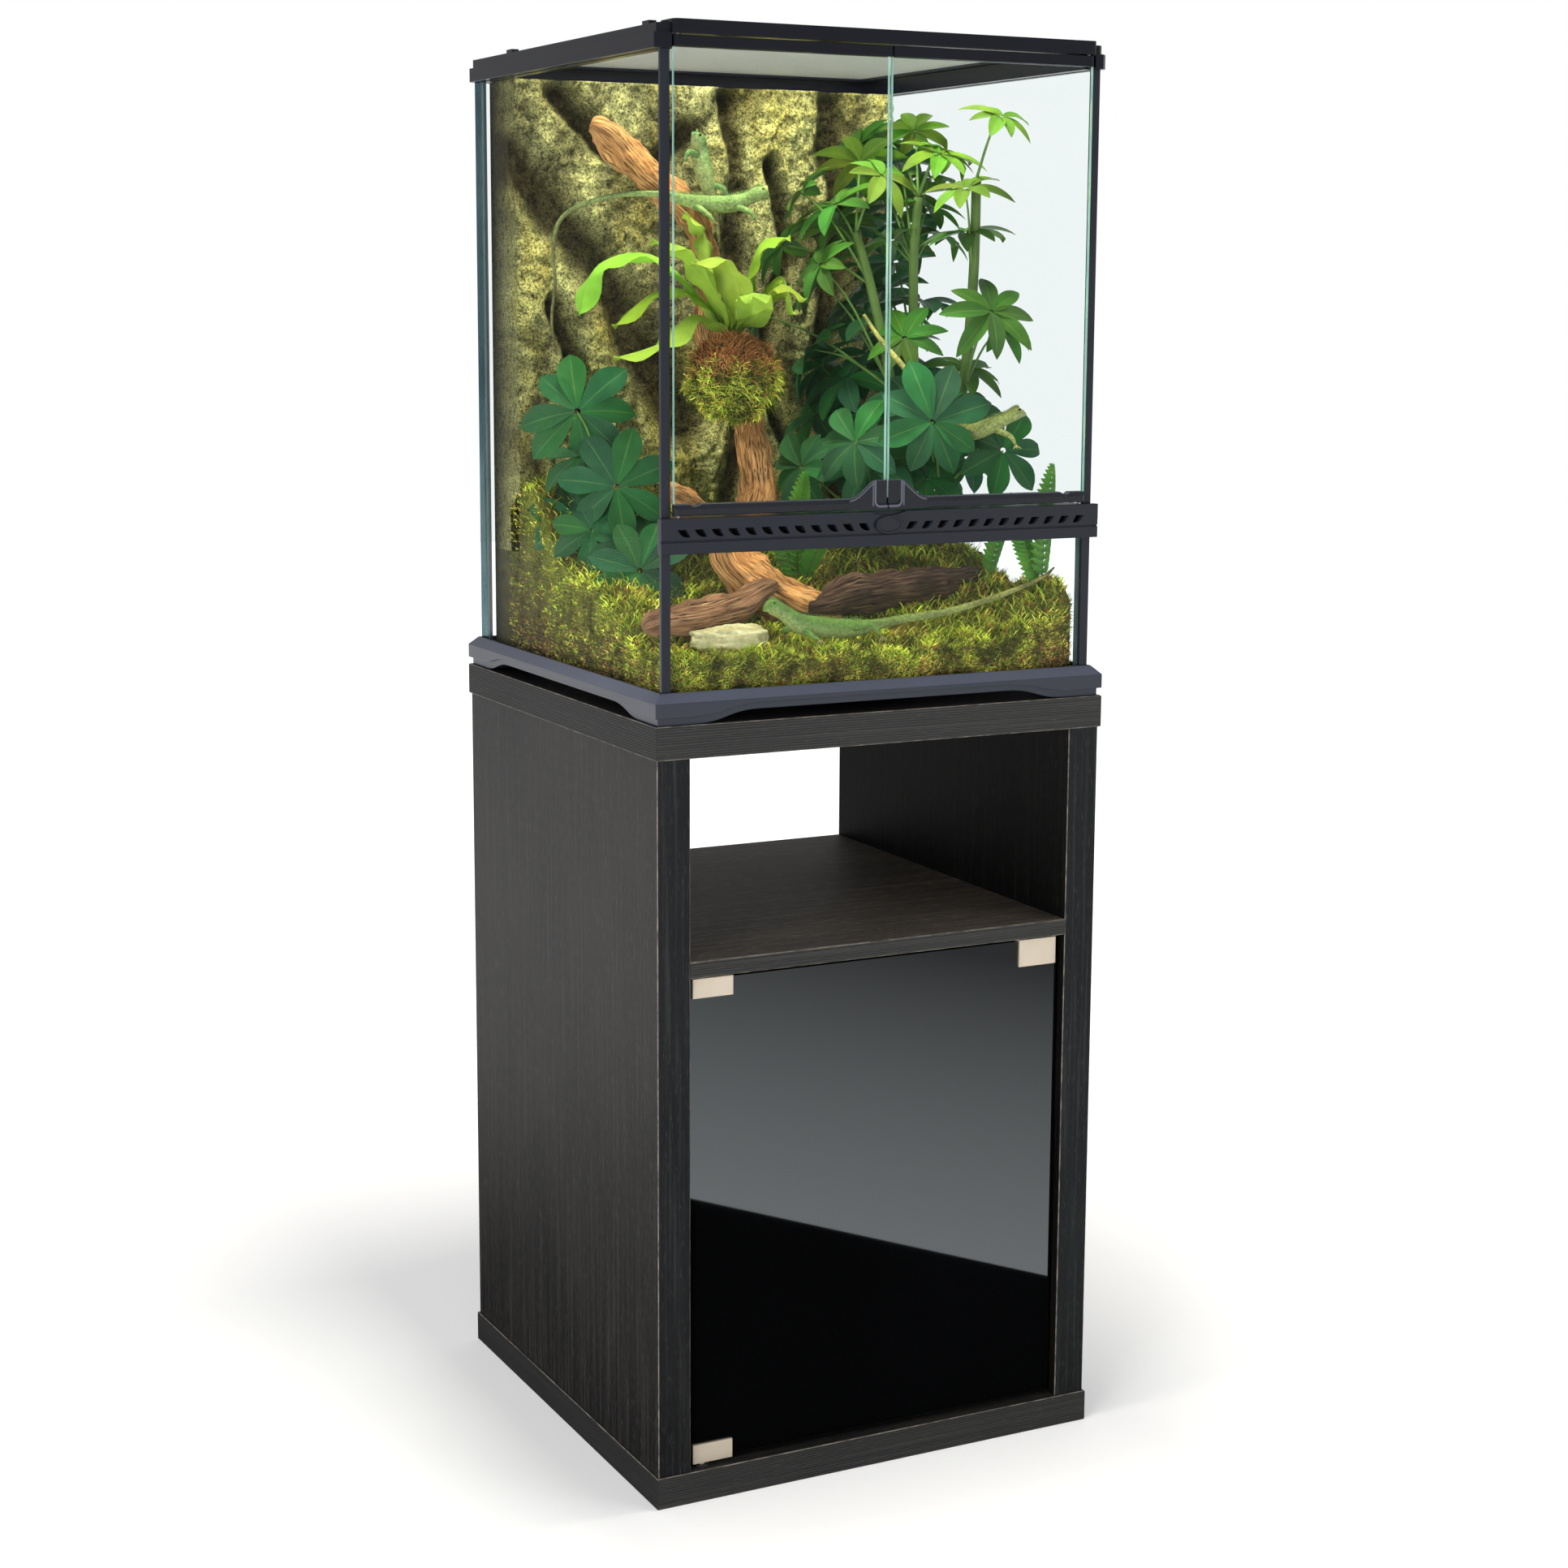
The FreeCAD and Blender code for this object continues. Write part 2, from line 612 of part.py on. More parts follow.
def ellipse_prism(half_width, half_height, depth, front):
    """An upright oval plate that faces -Y."""
    oval = Part.Ellipse(Vector(), half_width, half_height).toShape()
    plate = Part.Face(Part.Wire([oval])).extrude(Vector(0, 0, depth))
    plate.rotate(Vector(), Vector(1, 0, 0), 90)
    plate.translate(Vector(0, front + depth, size("stand_height") + size("knob_height")))
    return plate


def build_knob():
    """An oval knob with a raised rim, on a stem through the bar's front wall."""
    gap = 0.2
    rim, rim_height = 2, 0.8
    front = -size("vent_front") - gap - size("knob_thickness")
    half_width, half_height = size("knob_half_width"), size("knob_half_height")
    head = ellipse_prism(half_width, half_height, size("knob_thickness"), front)
    dish = ellipse_prism(half_width - rim, half_height - rim, rim_height, front)
    stem = Part.makeCylinder(size("knob_stem_radius"), size("vent_wall") + gap,
                             Vector(0, -size("vent_front") - gap,
                                    size("stand_height") + size("knob_height")), Vector(0, 1, 0))
    return shaped("knob_shape", head.cut(dish).fuse(stem))


def build_top_frame():
    """The upper moulding with its canopy over the doors and the seat for the lid."""
    outer = f"({GLASS_OUT} + top_overhang)"
    upper = f"({GLASS_OUT} + top_overhang - top_step)"
    lower_ring = box("top_lower", span(outer), span(outer),
                     ("stand_height + top_rail_bottom", "stand_height + top_step_height"))
    upper_ring = box("top_upper", span(upper), span(upper),
                     ("stand_height + top_rail_bottom", "stand_height + top_height"))
    rings = [bevelled("top_lower_bevel", lower_ring, size("top_corner"), is_upright),
             bevelled("top_upper_bevel", upper_ring, size("top_corner") - 1, is_upright)]
    canopy = box("canopy_block", span("canopy_half_width"), ("-canopy_front", "-lid_front - 2"),
                 ("stand_height + canopy_bottom", "stand_height + canopy_top"))
    DOC.recompute()
    rounded = DOC.addObject("Part::Fillet", "canopy_ends")
    rounded.Base = canopy
    front = -size("canopy_front")
    rounded.Edges = [(n, size("top_corner"), size("top_corner"))
                     for n, edge in enumerate(canopy.Shape.Edges, start=1)
                     if abs(edge.CenterOfMass.y - front) < 0.01 and is_upright(edge)]
    body = join("top_body", rings + [rounded])

    opening = box("top_opening_block", span("top_opening"), ("-lid_front - 1", "top_opening"),
                  ("stand_height + top_rail_bottom - 1", "stand_height + canopy_top + 1"))
    seat = box("lid_seat_block", span("lid_half_width + 0.4"), ("-lid_front - 0.4", "lid_half_width + 0.4"),
               ("stand_height + lid_seat", "stand_height + canopy_top + 1"))
    doors = box("door_zone", span("door_axis_x + rail_radius + 1"),
                (f"-{outer} - 1", "-door_axis_y + rail_radius + 3"),
                ("stand_height + top_rail_bottom - 1", "stand_height + canopy_bottom"))
    below = box("front_rail_clear", span("top_opening"), (f"-{outer}", "-lid_front"),
                ("stand_height + top_rail_bottom - 1", "stand_height + canopy_bottom"))
    grooves = [box("left_groove", (f"-{GLASS_OUT}", f"-{GLASS_IN}"), (POST_BACK, GLASS_OUT),
                   (GLASS_FLOOR, GLASS_TOP)),
               box("right_groove", (GLASS_IN, GLASS_OUT), (POST_BACK, GLASS_OUT), (GLASS_FLOOR, GLASS_TOP)),
               box("back_groove", span(GLASS_IN), (GLASS_IN, GLASS_OUT), (GLASS_FLOOR, GLASS_TOP))]
    pin_holes = [rod(f"upper_pin_hole_{side}", "door_pin_radius + peg_clearance", "door_pin_length + 1",
                     (f"{side} * door_axis_x", "-door_axis_y", "stand_height + canopy_bottom - 0.5"))
                 for side in (-1, 1)]
    keep(cut("top_frame_cut", body, [opening, seat, doors, below] + grooves + pin_holes), "top_frame")


def build_lid():
    """The lift-out lid: a flat frame and its mesh, and the four clips that slide over its edge."""
    block = box("lid_block", span("lid_half_width"), ("-lid_front", "lid_half_width"),
                ("stand_height + lid_seat", "stand_height + lid_seat + lid_thickness"))
    inner_y = ("lid_half_width - lid_opening - lid_front", "lid_opening")
    hole = box("lid_hole", span("lid_opening"), inner_y,
               ("stand_height + lid_seat - 1", "stand_height + lid_seat + lid_thickness + 1"))
    keep(cut("lid_frame_cut", block, [hole]), "lid_frame")
    mesh_bottom = "stand_height + lid_seat + mesh_lift"
    keep(box("mesh_plate", span("lid_opening"), inner_y, (mesh_bottom, mesh_bottom + " + mesh_thickness")),
         "lid_mesh")

    seam = "(lid_half_width + lid_clip_overlap)"
    for place, middle in (("front", "-lid_clip_front_y"), ("back", "lid_clip_back_y")):
        clip = box(f"clip_{place}",
                   (f"lid_clip_overlap - {seam} - lid_clip_length", f"lid_clip_slack - {seam}"),
                   (f"{middle} - lid_clip_width / 2", f"{middle} + lid_clip_width / 2"),
                   ("stand_height + top_height + lid_clip_gap", "stand_height + canopy_top"))
        keep(clip, f"lid_clip_left_{place}")
        keep(mirrored(f"clip_{place}_right", clip), f"lid_clip_right_{place}")


# ---------------------------------------------------------------- tank doors

def door_rail(name, bottom, top):
    """A moulded rail along one edge of a door, round at the pivot and slotted for the glass."""
    bar = box(name + "_bar", ("-door_axis_x", "-door_middle_gap"),
              ("-door_axis_y - rail_radius", "-door_axis_y + rail_radius"),
              (f"stand_height + {bottom}", f"stand_height + {top}"))
    end = rod(name + "_end", "rail_radius", f"{top} - {bottom}",
              ("-door_axis_x", "-door_axis_y", f"stand_height + {bottom}"))
    return join(name + "_rail", [bar, end])


def handle_half(name):
    """The left half of the finger pull that stands on the doors' lower rails."""
    outline = [("-door_middle_gap", "lower_rail_bottom"), ("-handle_half_base", "lower_rail_bottom"),
               ("-handle_half_base", "lower_rail_top"), ("-handle_half_top - 4", "handle_top - 3"),
               ("-handle_half_top", "handle_top"), ("-door_middle_gap", "handle_top")]
    body, pad = padded(name, "XZ_Plane", outline, "handle_front - door_axis_y - door_pane / 2")
    body.setExpression("Placement.Base.y", bound("-door_axis_y - door_pane / 2"))
    body.setExpression("Placement.Base.z", bound("stand_height"))
    return body


def build_doors():
    """Two glass doors, each with an upper rail, a lower rail with half the pull, and two pins."""
    pane = box("left_door_pane", ("1 - door_axis_x - rail_radius", "-door_middle_gap - 0.5"),
               ("-door_axis_y - door_pane / 2", "-door_axis_y + door_pane / 2"),
               ("stand_height + lower_rail_bottom + 2", "stand_height + upper_rail_top - 2"))
    upper = cut("left_upper_cut", door_rail("left_upper", "upper_rail_bottom", "upper_rail_top"), [pane])
    lower_rail = door_rail("left_lower", "lower_rail_bottom", "lower_rail_top")
    handle = handle_half("left_handle")
    finger = box("finger_recess", ("-finger_half_width", "1"),
                 ("-handle_front - 1", "-door_axis_y - door_pane / 2 - finger_wall"),
                 ("stand_height + finger_bottom", "stand_height + handle_top + 1"))
    lower = cut("left_lower_cut", join("left_lower_body", [lower_rail, handle]), [pane, finger])
    pins = group("left_pins", [
        rod("left_upper_pin", "door_pin_radius", "door_pin_length",
            ("-door_axis_x", "-door_axis_y", "stand_height + upper_rail_top")),
        rod("left_lower_pin", "door_pin_radius", "door_pin_length",
            ("-door_axis_x", "-door_axis_y", "stand_height + lower_rail_bottom - door_pin_length"))])
    for label, piece in (("door_glass", pane), ("door_top_rail", upper),
                         ("door_bottom_rail", lower), ("door_pins", pins)):
        keep(piece, f"left_{label}")
        keep(mirrored(f"right_{label}_mirror", piece), f"right_{label}")


# ---------------------------------------------------------------- landscape

FACETS = 8


def chain(points):
    """A faceted limb: each point is x, y, height above the stand, radius."""
    centres = [Vector(x, y, size("stand_height") + z) for x, y, z, radius in points]
    last = len(points) - 1
    side = (centres[1] - centres[0]).cross(Vector(0.3, 0.2, 1))
    turns = [math.tau * k / FACETS for k in range(FACETS)]
    rings = []
    for n, centre in enumerate(centres):
        ahead = (centres[min(n + 1, last)] - centres[max(n - 1, 0)]).normalize()
        side = (side - ahead * side.dot(ahead)).normalize()
        up = side.cross(ahead)
        rings.append([centre + (side * math.cos(turn) + up * math.sin(turn)) * points[n][3]
                      for turn in turns])
    faces = [flat_face(rings[0]), flat_face(rings[last])]
    for lower, upper in zip(rings, rings[1:]):
        for k in range(FACETS):
            after = (k + 1) % FACETS
            faces.append(flat_face([lower[k], lower[after], upper[after]]))
            faces.append(flat_face([lower[k], upper[after], upper[k]]))
    shell = Part.makeShell(faces)
    shell.sewShape()
    limb = Part.makeSolid(Part.Shell(shell.Faces))
    if limb.Volume < 0:
        limb.reverse()
    return limb


def flat_face(corners):
    """A flat face through its corners."""
    return Part.Face(Part.makePolygon(corners + corners[:1]))


def blob(middle, radii):
    """An ellipsoid; the middle's height is above the stand."""
    ball = Part.makeSphere(1).toNurbs()
    stretch = FreeCAD.Matrix()
    stretch.scale(*radii)
    ball = ball.transformGeometry(stretch)
    ball.translate(Vector(middle[0], middle[1], size("stand_height") + middle[2]))
    return ball


def disc(middle, radius, thickness=5):
    """A flat cone for one rosette of leaves."""
    base = Vector(middle[0], middle[1], size("stand_height") + middle[2] - thickness / 2)
    return Part.makeCone(radius * 0.8, radius, thickness, base, Vector(0, 0, 1))


def plant(stem, rosettes):
    """A stem with rosettes, each on a stalk from the nearest stem point below it."""
    parts = [chain([point + (3,) for point in stem])]
    for x, y, z, radius in rosettes:
        foot = min((point for point in stem if point[2] <= z),
                   key=lambda point: abs(point[0] - x) + abs(point[1] - y) + abs(point[2] - z + 60),
                   default=stem[0])
        parts.append(chain([foot + (2,), (x, y, z, 2)]))
        parts.append(disc((x, y, z), radius))
    return parts[0].multiFuse(parts[1:]).removeSplitter()


MAIN_BRANCH = ((-150, 62, 522, 13), (-108, 68, 484, 15), (-52, 60, 446, 14), (-50, 42, 380, 11),
               (-50, 30, 326, 13), (-28, 0, 254, 15), (-38, -40, 178, 17), (-88, -85, 130, 18),
               (-50, -105, 98, 20), (-10, -120, 74, 15))
SIDE_BRANCH = ((-178, -148, 196, 9), (-140, -118, 184, 10), (-92, -86, 138, 12))
LIGHT_LOG = ((-190, -150, 80, 15), (-140, -148, 82, 17), (-84, -140, 94, 14))
DARK_LOG = ((-30, -128, 82, 14), (40, -118, 92, 17), (110, -106, 96, 16), (168, -96, 98, 12))

LEFT_STEM = ((-150, 60, 104), (-152, 55, 130), (-158, 50, 190), (-165, 60, 240))
LEFT_ROSETTES = ((-170, 90, 254, 26), (-168, 18, 190, 28), (-172, 70, 148, 24), (-168, -30, 110, 24))
RIGHT_STEM = ((140, -10, 90), (146, -8, 180), (150, -5, 300), (152, 0, 400), (156, 0, 470))
RIGHT_ROSETTES = ((124, 60, 495, 30), (168, -20, 505, 26), (86, 40, 455, 30), (163, -80, 425, 26),
                  (159, -140, 352, 24), (97, -130, 252, 30), (85, 70, 380, 28), (71, 60, 316, 28),
                  (172, -140, 224, 22))
FERN_STEMS = (((6, -40, 85), (6, -40, 205)), ((190, -185, 85), (192, -188, 205)))

LIZARDS = {
    "lizard_climbing": ((-60, 50, 516, 5), (-58, 46, 492, 8), (-54, 50, 461, 7)),
    "lizard_on_branch": ((-6, 22, 464, 5), (-30, 30, 456, 8), (-66, 42, 458, 8), (-98, 42, 464, 3),
                         (-150, 90, 458, 2), (-180, 105, 440, 2), (-181, 105, 380, 1.5),
                         (-181, 105, 318, 1.2)),
    "lizard_in_leaves": ((178, -150, 259, 5), (160, -142, 252, 8), (132, -130, 242, 8), (87, -60, 320, 3),
                         (75, -40, 350, 2)),
    "lizard_on_moss": ((-92, -188, 92, 6), (-66, -186, 74, 9), (-10, -180, 66, 9), (30, -180, 70, 4),
                       (98, -180, 80, 3), (160, -182, 96, 2.5), (200, -190, 116, 1.5)),
}


def build_landscape():
    """Rock back wall, soil, wood, stone, moss ball, plants and four lizard figures."""
    half = "landscape_half_width"
    wall = box("rock_slab", span(half), ("rock_front", "rock_back"),
               (GLASS_FLOOR, "stand_height + rock_top"))
    keep(wall, "background_panel")

    slope = [("-soil_front_y", GLASS_FLOOR), ("rock_front", GLASS_FLOOR),
             ("rock_front", "stand_height + soil_back"), ("-soil_middle_y", "stand_height + soil_middle"),
             ("-soil_near_y", "stand_height + soil_near"), ("-soil_front_y", "stand_height + soil_front")]
    soil, pad = padded("soil_body", "YZ_Plane", slope, f"2 * {half}", symmetric=True)
    keep(soil, "substrate_bed")

    for label, route in (("main_branch", MAIN_BRANCH), ("side_branch", SIDE_BRANCH),
                         ("light_log", LIGHT_LOG), ("dark_log", DARK_LOG)):
        keep(shaped(label + "_shape", chain(route)), label)
    keep(shaped("moss_ball_shape", blob((-50, -16, 291), (50, 50, 46))), "moss_ball")
    keep(shaped("stone_shape", blob((-132, -172, 66), (46, 22, 14))), "flat_stone")

    keep(shaped("left_plant_shape", plant(LEFT_STEM, LEFT_ROSETTES)), "umbrella_plant_left")
    keep(shaped("right_plant_shape", plant(RIGHT_STEM, RIGHT_ROSETTES)), "umbrella_plant_right")
    fern_base = (-46, 0, 330)
    tips = ((-150, 40, 392), (-150, -10, 330), (-100, 20, 425), (5, 0, 388), (-30, -20, 400))
    leaves = [chain([fern_base + (4,), tip + (2,)]) for tip in tips]
    keep(shaped("nest_fern_shape", leaves[0].multiFuse(leaves[1:]).removeSplitter()), "nest_fern")
    ferns = [chain([point + (3,) for point in stem]) for stem in FERN_STEMS]
    keep(shaped("fern_shape", Part.makeCompound(ferns)), "ferns")
    for label, route in LIZARDS.items():
        keep(shaped(label + "_shape", chain(route)), label)


# ---------------------------------------------------------------- checks and files

def check_document():
    """Stops if any object failed or any sub-part is missing, broken or unnamed."""
    failed = [item.Label for item in DOC.Objects if {"Invalid", "Error"} & set(item.State)]
    if failed:
        raise RuntimeError(f"failed objects: {failed}")
    for piece in PIECES:
        if piece.Shape.isNull() or not piece.Shape.isValid() or not piece.Shape.Solids:
            raise RuntimeError(f"no valid solid in {piece.Label}")


def write_files():
    """Writes one STEP file for each sub-part and prints what it holds."""
    os.makedirs("parts", exist_ok=True)
    for piece in PIECES:
        piece.Shape.exportStep(f"parts/{piece.Label}.step")
        print(f"{piece.Label}: {len(piece.Shape.Solids)} solid(s), {piece.Shape.Volume / 1000:.1f} cm3")
    print(len(PIECES), "sub-parts")


fill_sheet()
build_cabinet()
build_cabinet_door()
build_base_frame()
build_panes()
build_vent_bar()
build_top_frame()
build_lid()
build_doors()
build_landscape()
DOC.recompute()
check_document()
write_files()
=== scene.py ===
import math
import random

import bpy
from mathutils import Matrix, Vector, noise


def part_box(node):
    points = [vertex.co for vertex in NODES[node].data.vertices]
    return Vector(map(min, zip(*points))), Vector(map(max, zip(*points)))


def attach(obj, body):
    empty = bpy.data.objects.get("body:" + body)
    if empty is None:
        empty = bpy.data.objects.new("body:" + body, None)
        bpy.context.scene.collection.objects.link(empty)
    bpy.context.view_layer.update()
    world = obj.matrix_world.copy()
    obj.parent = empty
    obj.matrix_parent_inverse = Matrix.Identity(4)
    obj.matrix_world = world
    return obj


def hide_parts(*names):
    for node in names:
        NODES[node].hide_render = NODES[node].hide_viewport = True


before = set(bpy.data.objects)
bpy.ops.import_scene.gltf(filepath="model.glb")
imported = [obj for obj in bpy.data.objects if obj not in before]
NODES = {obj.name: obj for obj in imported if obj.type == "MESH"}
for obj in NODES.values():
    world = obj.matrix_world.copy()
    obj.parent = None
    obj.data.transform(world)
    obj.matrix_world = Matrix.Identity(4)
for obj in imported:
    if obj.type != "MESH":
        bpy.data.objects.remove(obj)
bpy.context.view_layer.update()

# A planted glass terrarium on its black oak cabinet. Metres, in the row frame: +Z up, doors face -Y.

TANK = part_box("base_frame")[0].z
GLASS_INSIDE = -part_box("left_glass")[1].x
FLOOR_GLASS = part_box("bottom_glass")[1].z
ROCK_LOW, ROCK_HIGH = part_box("background_panel")
SOIL_LOW, SOIL_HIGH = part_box("substrate_bed")


# ---------------------------------------------------------------- node helpers

def new_material(name):
    """A material with its Principled shader, ready for nodes."""
    material = bpy.data.materials.new(name)
    material.use_nodes = True
    return material, material.node_tree, material.node_tree.nodes["Principled BSDF"]


def add(tree, kind, inputs=None, **settings):
    """A node with its settings, its inputs given as values or as sockets to link from."""
    node = tree.nodes.new("ShaderNode" + kind)
    for key, value in settings.items():
        setattr(node, key, value)
    for key, value in (inputs or {}).items():
        if isinstance(value, bpy.types.NodeSocket):
            tree.links.new(value, node.inputs[key])
        else:
            node.inputs[key].default_value = value
    return node


def place(tree, stretch=(1, 1, 1), source="Object"):
    """Texture coordinates scaled along each axis."""
    coordinates = add(tree, "TexCoord")
    return add(tree, "Mapping", {"Vector": coordinates.outputs[source], "Scale": stretch}).outputs[0]


def grain(tree, vector, scale, detail=4.0, roughness=0.55, distortion=0.0):
    """Noise from 0 to 1."""
    settings = {"Vector": vector, "Scale": scale, "Detail": detail, "Roughness": roughness,
                "Distortion": distortion}
    return add(tree, "TexNoise", settings).outputs["Fac"]


def ramp(tree, factor, stops):
    """A colour ramp; each stop is a place and a colour or a grey level."""
    node = add(tree, "ValToRGB", {"Fac": factor})
    elements = node.color_ramp.elements
    while len(elements) < len(stops):
        elements.new(0.5)
    for element, (position, colour) in zip(elements, stops):
        element.position = position
        element.color = (colour,) * 3 + (1,) if isinstance(colour, (int, float)) else tuple(colour) + (1,)
    return node.outputs["Color"]


def mix(tree, factor, first, second, blend="MIX"):
    """Two colours mixed."""
    node = add(tree, "Mix", data_type="RGBA", blend_type=blend)
    for socket, value in ((node.inputs[0], factor), (node.inputs[6], first), (node.inputs[7], second)):
        if isinstance(value, bpy.types.NodeSocket):
            tree.links.new(value, socket)
        elif isinstance(value, (int, float)):
            socket.default_value = value
        else:
            socket.default_value = tuple(value) + (1,)
    return node.outputs[2]


def scaled(tree, factor, low, high):
    """A factor from 0 to 1 brought between two values."""
    return add(tree, "MapRange", {"Value": factor, "To Min": low, "To Max": high}).outputs[0]


def bump(tree, height, strength, distance, normal=None):
    """A bump normal, optionally on top of another."""
    inputs = {"Height": height, "Strength": strength, "Distance": distance}
    if normal is not None:
        inputs["Normal"] = normal
    return add(tree, "Bump", inputs).outputs[0]


def finish(tree, shader, colour=None, roughness=None, normal=None, **values):
    """Links what varies into the Principled shader and sets what doesn't."""
    for key, value in (("Base Color", colour), ("Roughness", roughness), ("Normal", normal)):
        if isinstance(value, bpy.types.NodeSocket):
            tree.links.new(value, shader.inputs[key])
        elif value is not None:
            shader.inputs[key].default_value = value
    for key, value in values.items():
        shader.inputs[key.replace("_", " ")].default_value = value


# ---------------------------------------------------------------- materials

RIB_FREQUENCY = 2732.0


def oak_veneer(name, axis, ribbed=False, tone=(1.0, 1.0, 1.0), specular=0.2):
    """Black-brown oak veneer with its grain along one axis."""
    material, tree, shader = new_material(name)
    along, across = (2.5, 260.0) if ribbed else (5.0, 330.0)
    streak = place(tree, tuple(along if letter == axis else across for letter in "xyz"))
    pores = place(tree, tuple(70.0 if letter == axis else 1500.0 for letter in "xyz"))
    figure = grain(tree, streak, 1.0, 6.0, 0.6, 0.3)
    pore = grain(tree, pores, 1.0, 3.0, 0.6)
    cloud = grain(tree, place(tree, (6, 6, 6)), 1.0, 3.0)
    dark = mix(tree, ramp(tree, cloud, ((0.3, 0.0), (0.7, 1.0))), (0.0085, 0.0084, 0.0086), (0.0145, 0.0138, 0.0132))
    streaks = ramp(tree, figure, ((0.5, 0.0), (0.72, 1.0)))
    colour = mix(tree, streaks, dark, (0.034, 0.032, 0.029))
    flecks = ramp(tree, pore, ((0.6, 0.0), (0.7, 0.8)))
    colour = mix(tree, 1.0, mix(tree, flecks, colour, (0.085, 0.08, 0.072)), tone, "MULTIPLY")
    height = add(tree, "Math", {0: figure, 1: pore}, operation="MULTIPLY").outputs[0]
    if ribbed:
        level = add(tree, "SeparateXYZ", {0: add(tree, "TexCoord").outputs["Object"]}).outputs[2]
        phase = add(tree, "Math", {0: level, 1: RIB_FREQUENCY}, operation="MULTIPLY").outputs[0]
        bent = add(tree, "Math", {0: phase, 1: scaled(tree, figure, 0.0, 5.0)}, operation="ADD").outputs[0]
        wave = scaled(tree, add(tree, "Math", {0: bent}, operation="SINE").outputs[0], 0.35, 1.0)
        colour = mix(tree, scaled(tree, wave, 0.0, 0.75), colour, (0.05, 0.051, 0.05))
        height = add(tree, "Math", {0: height, 1: wave}, operation="ADD").outputs[0]
    finish(tree, shader, colour, scaled(tree, figure, 0.45, 0.65), bump(tree, height, 0.5, 0.0006),
           Specular_IOR_Level=specular)
    return material


def cut_edge(name):
    """The thin light line where two veneered faces meet."""
    material, tree, shader = new_material(name)
    wear = grain(tree, place(tree, (90, 90, 90)), 1.0, 4.0)
    colour = ramp(tree, wear, ((0.35, (0.05, 0.046, 0.04)), (0.7, (0.2, 0.18, 0.15))))
    finish(tree, shader, colour, 0.6, bump(tree, wear, 0.2, 0.0003))
    return material


def moulded_plastic(name, colour, gloss, texture=0.12, edge=0.0012, specular=0.5):
    """Injection-moulded plastic: a fine grain, faint cloudiness and softened edges."""
    material, tree, shader = new_material(name)
    cloud = grain(tree, place(tree, (14, 14, 14)), 1.0, 3.0)
    pebble = grain(tree, place(tree, (1800, 1800, 1800)), 1.0, 2.0)
    darker = tuple(channel * 0.8 for channel in colour)
    rounded = add(tree, "Bevel", {"Radius": edge}, samples=4).outputs[0]
    finish(tree, shader, mix(tree, cloud, darker, colour), scaled(tree, cloud, gloss - 0.05, gloss + 0.08),
           bump(tree, pebble, texture, 0.0002, rounded), Specular_IOR_Level=specular)
    return material


def clear_glass(name, tint, most=0.3):
    """Thin clear glass: light passes straight through and the surface reflects by angle."""
    material, tree, shader = new_material(name)
    output = tree.nodes["Material Output"]
    smudge = grain(tree, place(tree, (5, 5, 5)), 1.0, 4.0)
    clear = add(tree, "BsdfTransparent", {"Color": tint + (1,)})
    gloss = add(tree, "BsdfGlossy", {"Roughness": scaled(tree, smudge, 0.0, 0.05)})
    facing = add(tree, "LayerWeight", {"Blend": 0.5}).outputs["Facing"]
    grazing = add(tree, "Math", {0: facing, 1: 5.0}, operation="POWER").outputs[0]
    share = scaled(tree, grazing, most * 0.02, most)
    blend = add(tree, "MixShader", {0: share, 1: clear.outputs[0], 2: gloss.outputs[0]})
    tree.links.new(blend.outputs[0], output.inputs["Surface"])
    tree.nodes.remove(shader)
    return material


def glass_edge(name, low, high):
    """The polished green edge of a pane."""
    material, tree, shader = new_material(name)
    depth = grain(tree, place(tree, (40, 40, 12)), 1.0, 3.0)
    colour = ramp(tree, depth, ((0.3, low), (0.7, high)))
    finish(tree, shader, colour, 0.12, bump(tree, depth, 0.1, 0.0004), Transmission_Weight=0.35)
    return material


def dark_door_glass(name):
    """Back-painted dark glass, as shiny as a mirror."""
    material, tree, shader = new_material(name)
    haze = grain(tree, place(tree, (3, 3, 3)), 1.0, 4.0)
    colour = ramp(tree, haze, ((0.3, (0.0012, 0.0013, 0.0015)), (0.8, (0.002, 0.0022, 0.0025))))
    finish(tree, shader, colour, scaled(tree, haze, 0.015, 0.035), None, Specular_IOR_Level=1.0, IOR=1.6)
    return material


def satin_metal(name, colour, gloss=0.34, stretch=(1500, 90, 90), metallic=1.0):
    """Brushed metal with fine scratches along one axis."""
    material, tree, shader = new_material(name)
    brushed = grain(tree, place(tree, stretch), 1.0, 3.0, 0.7)
    cloud = grain(tree, place(tree, (60, 60, 60)), 1.0, 2.0)
    shade = mix(tree, cloud, tuple(channel * 0.86 for channel in colour), colour)
    rounded = add(tree, "Bevel", {"Radius": 0.0012}, samples=4).outputs[0]
    finish(tree, shader, shade, scaled(tree, brushed, gloss - 0.08, gloss + 0.12),
           bump(tree, brushed, 0.15, 0.0002, rounded), Metallic=metallic)
    return material


def plain_stuff(name, low, high, rough, scale=60, strength=0.2):
    """A quiet material with mottled colour, such as raw dowel, nylon or silicone."""
    material, tree, shader = new_material(name)
    mottle = grain(tree, place(tree, (scale,) * 3), 1.0, 4.0)
    finish(tree, shader, mix(tree, mottle, low, high), scaled(tree, mottle, rough - 0.06, rough + 0.06),
           bump(tree, mottle, strength, 0.0006))
    return material


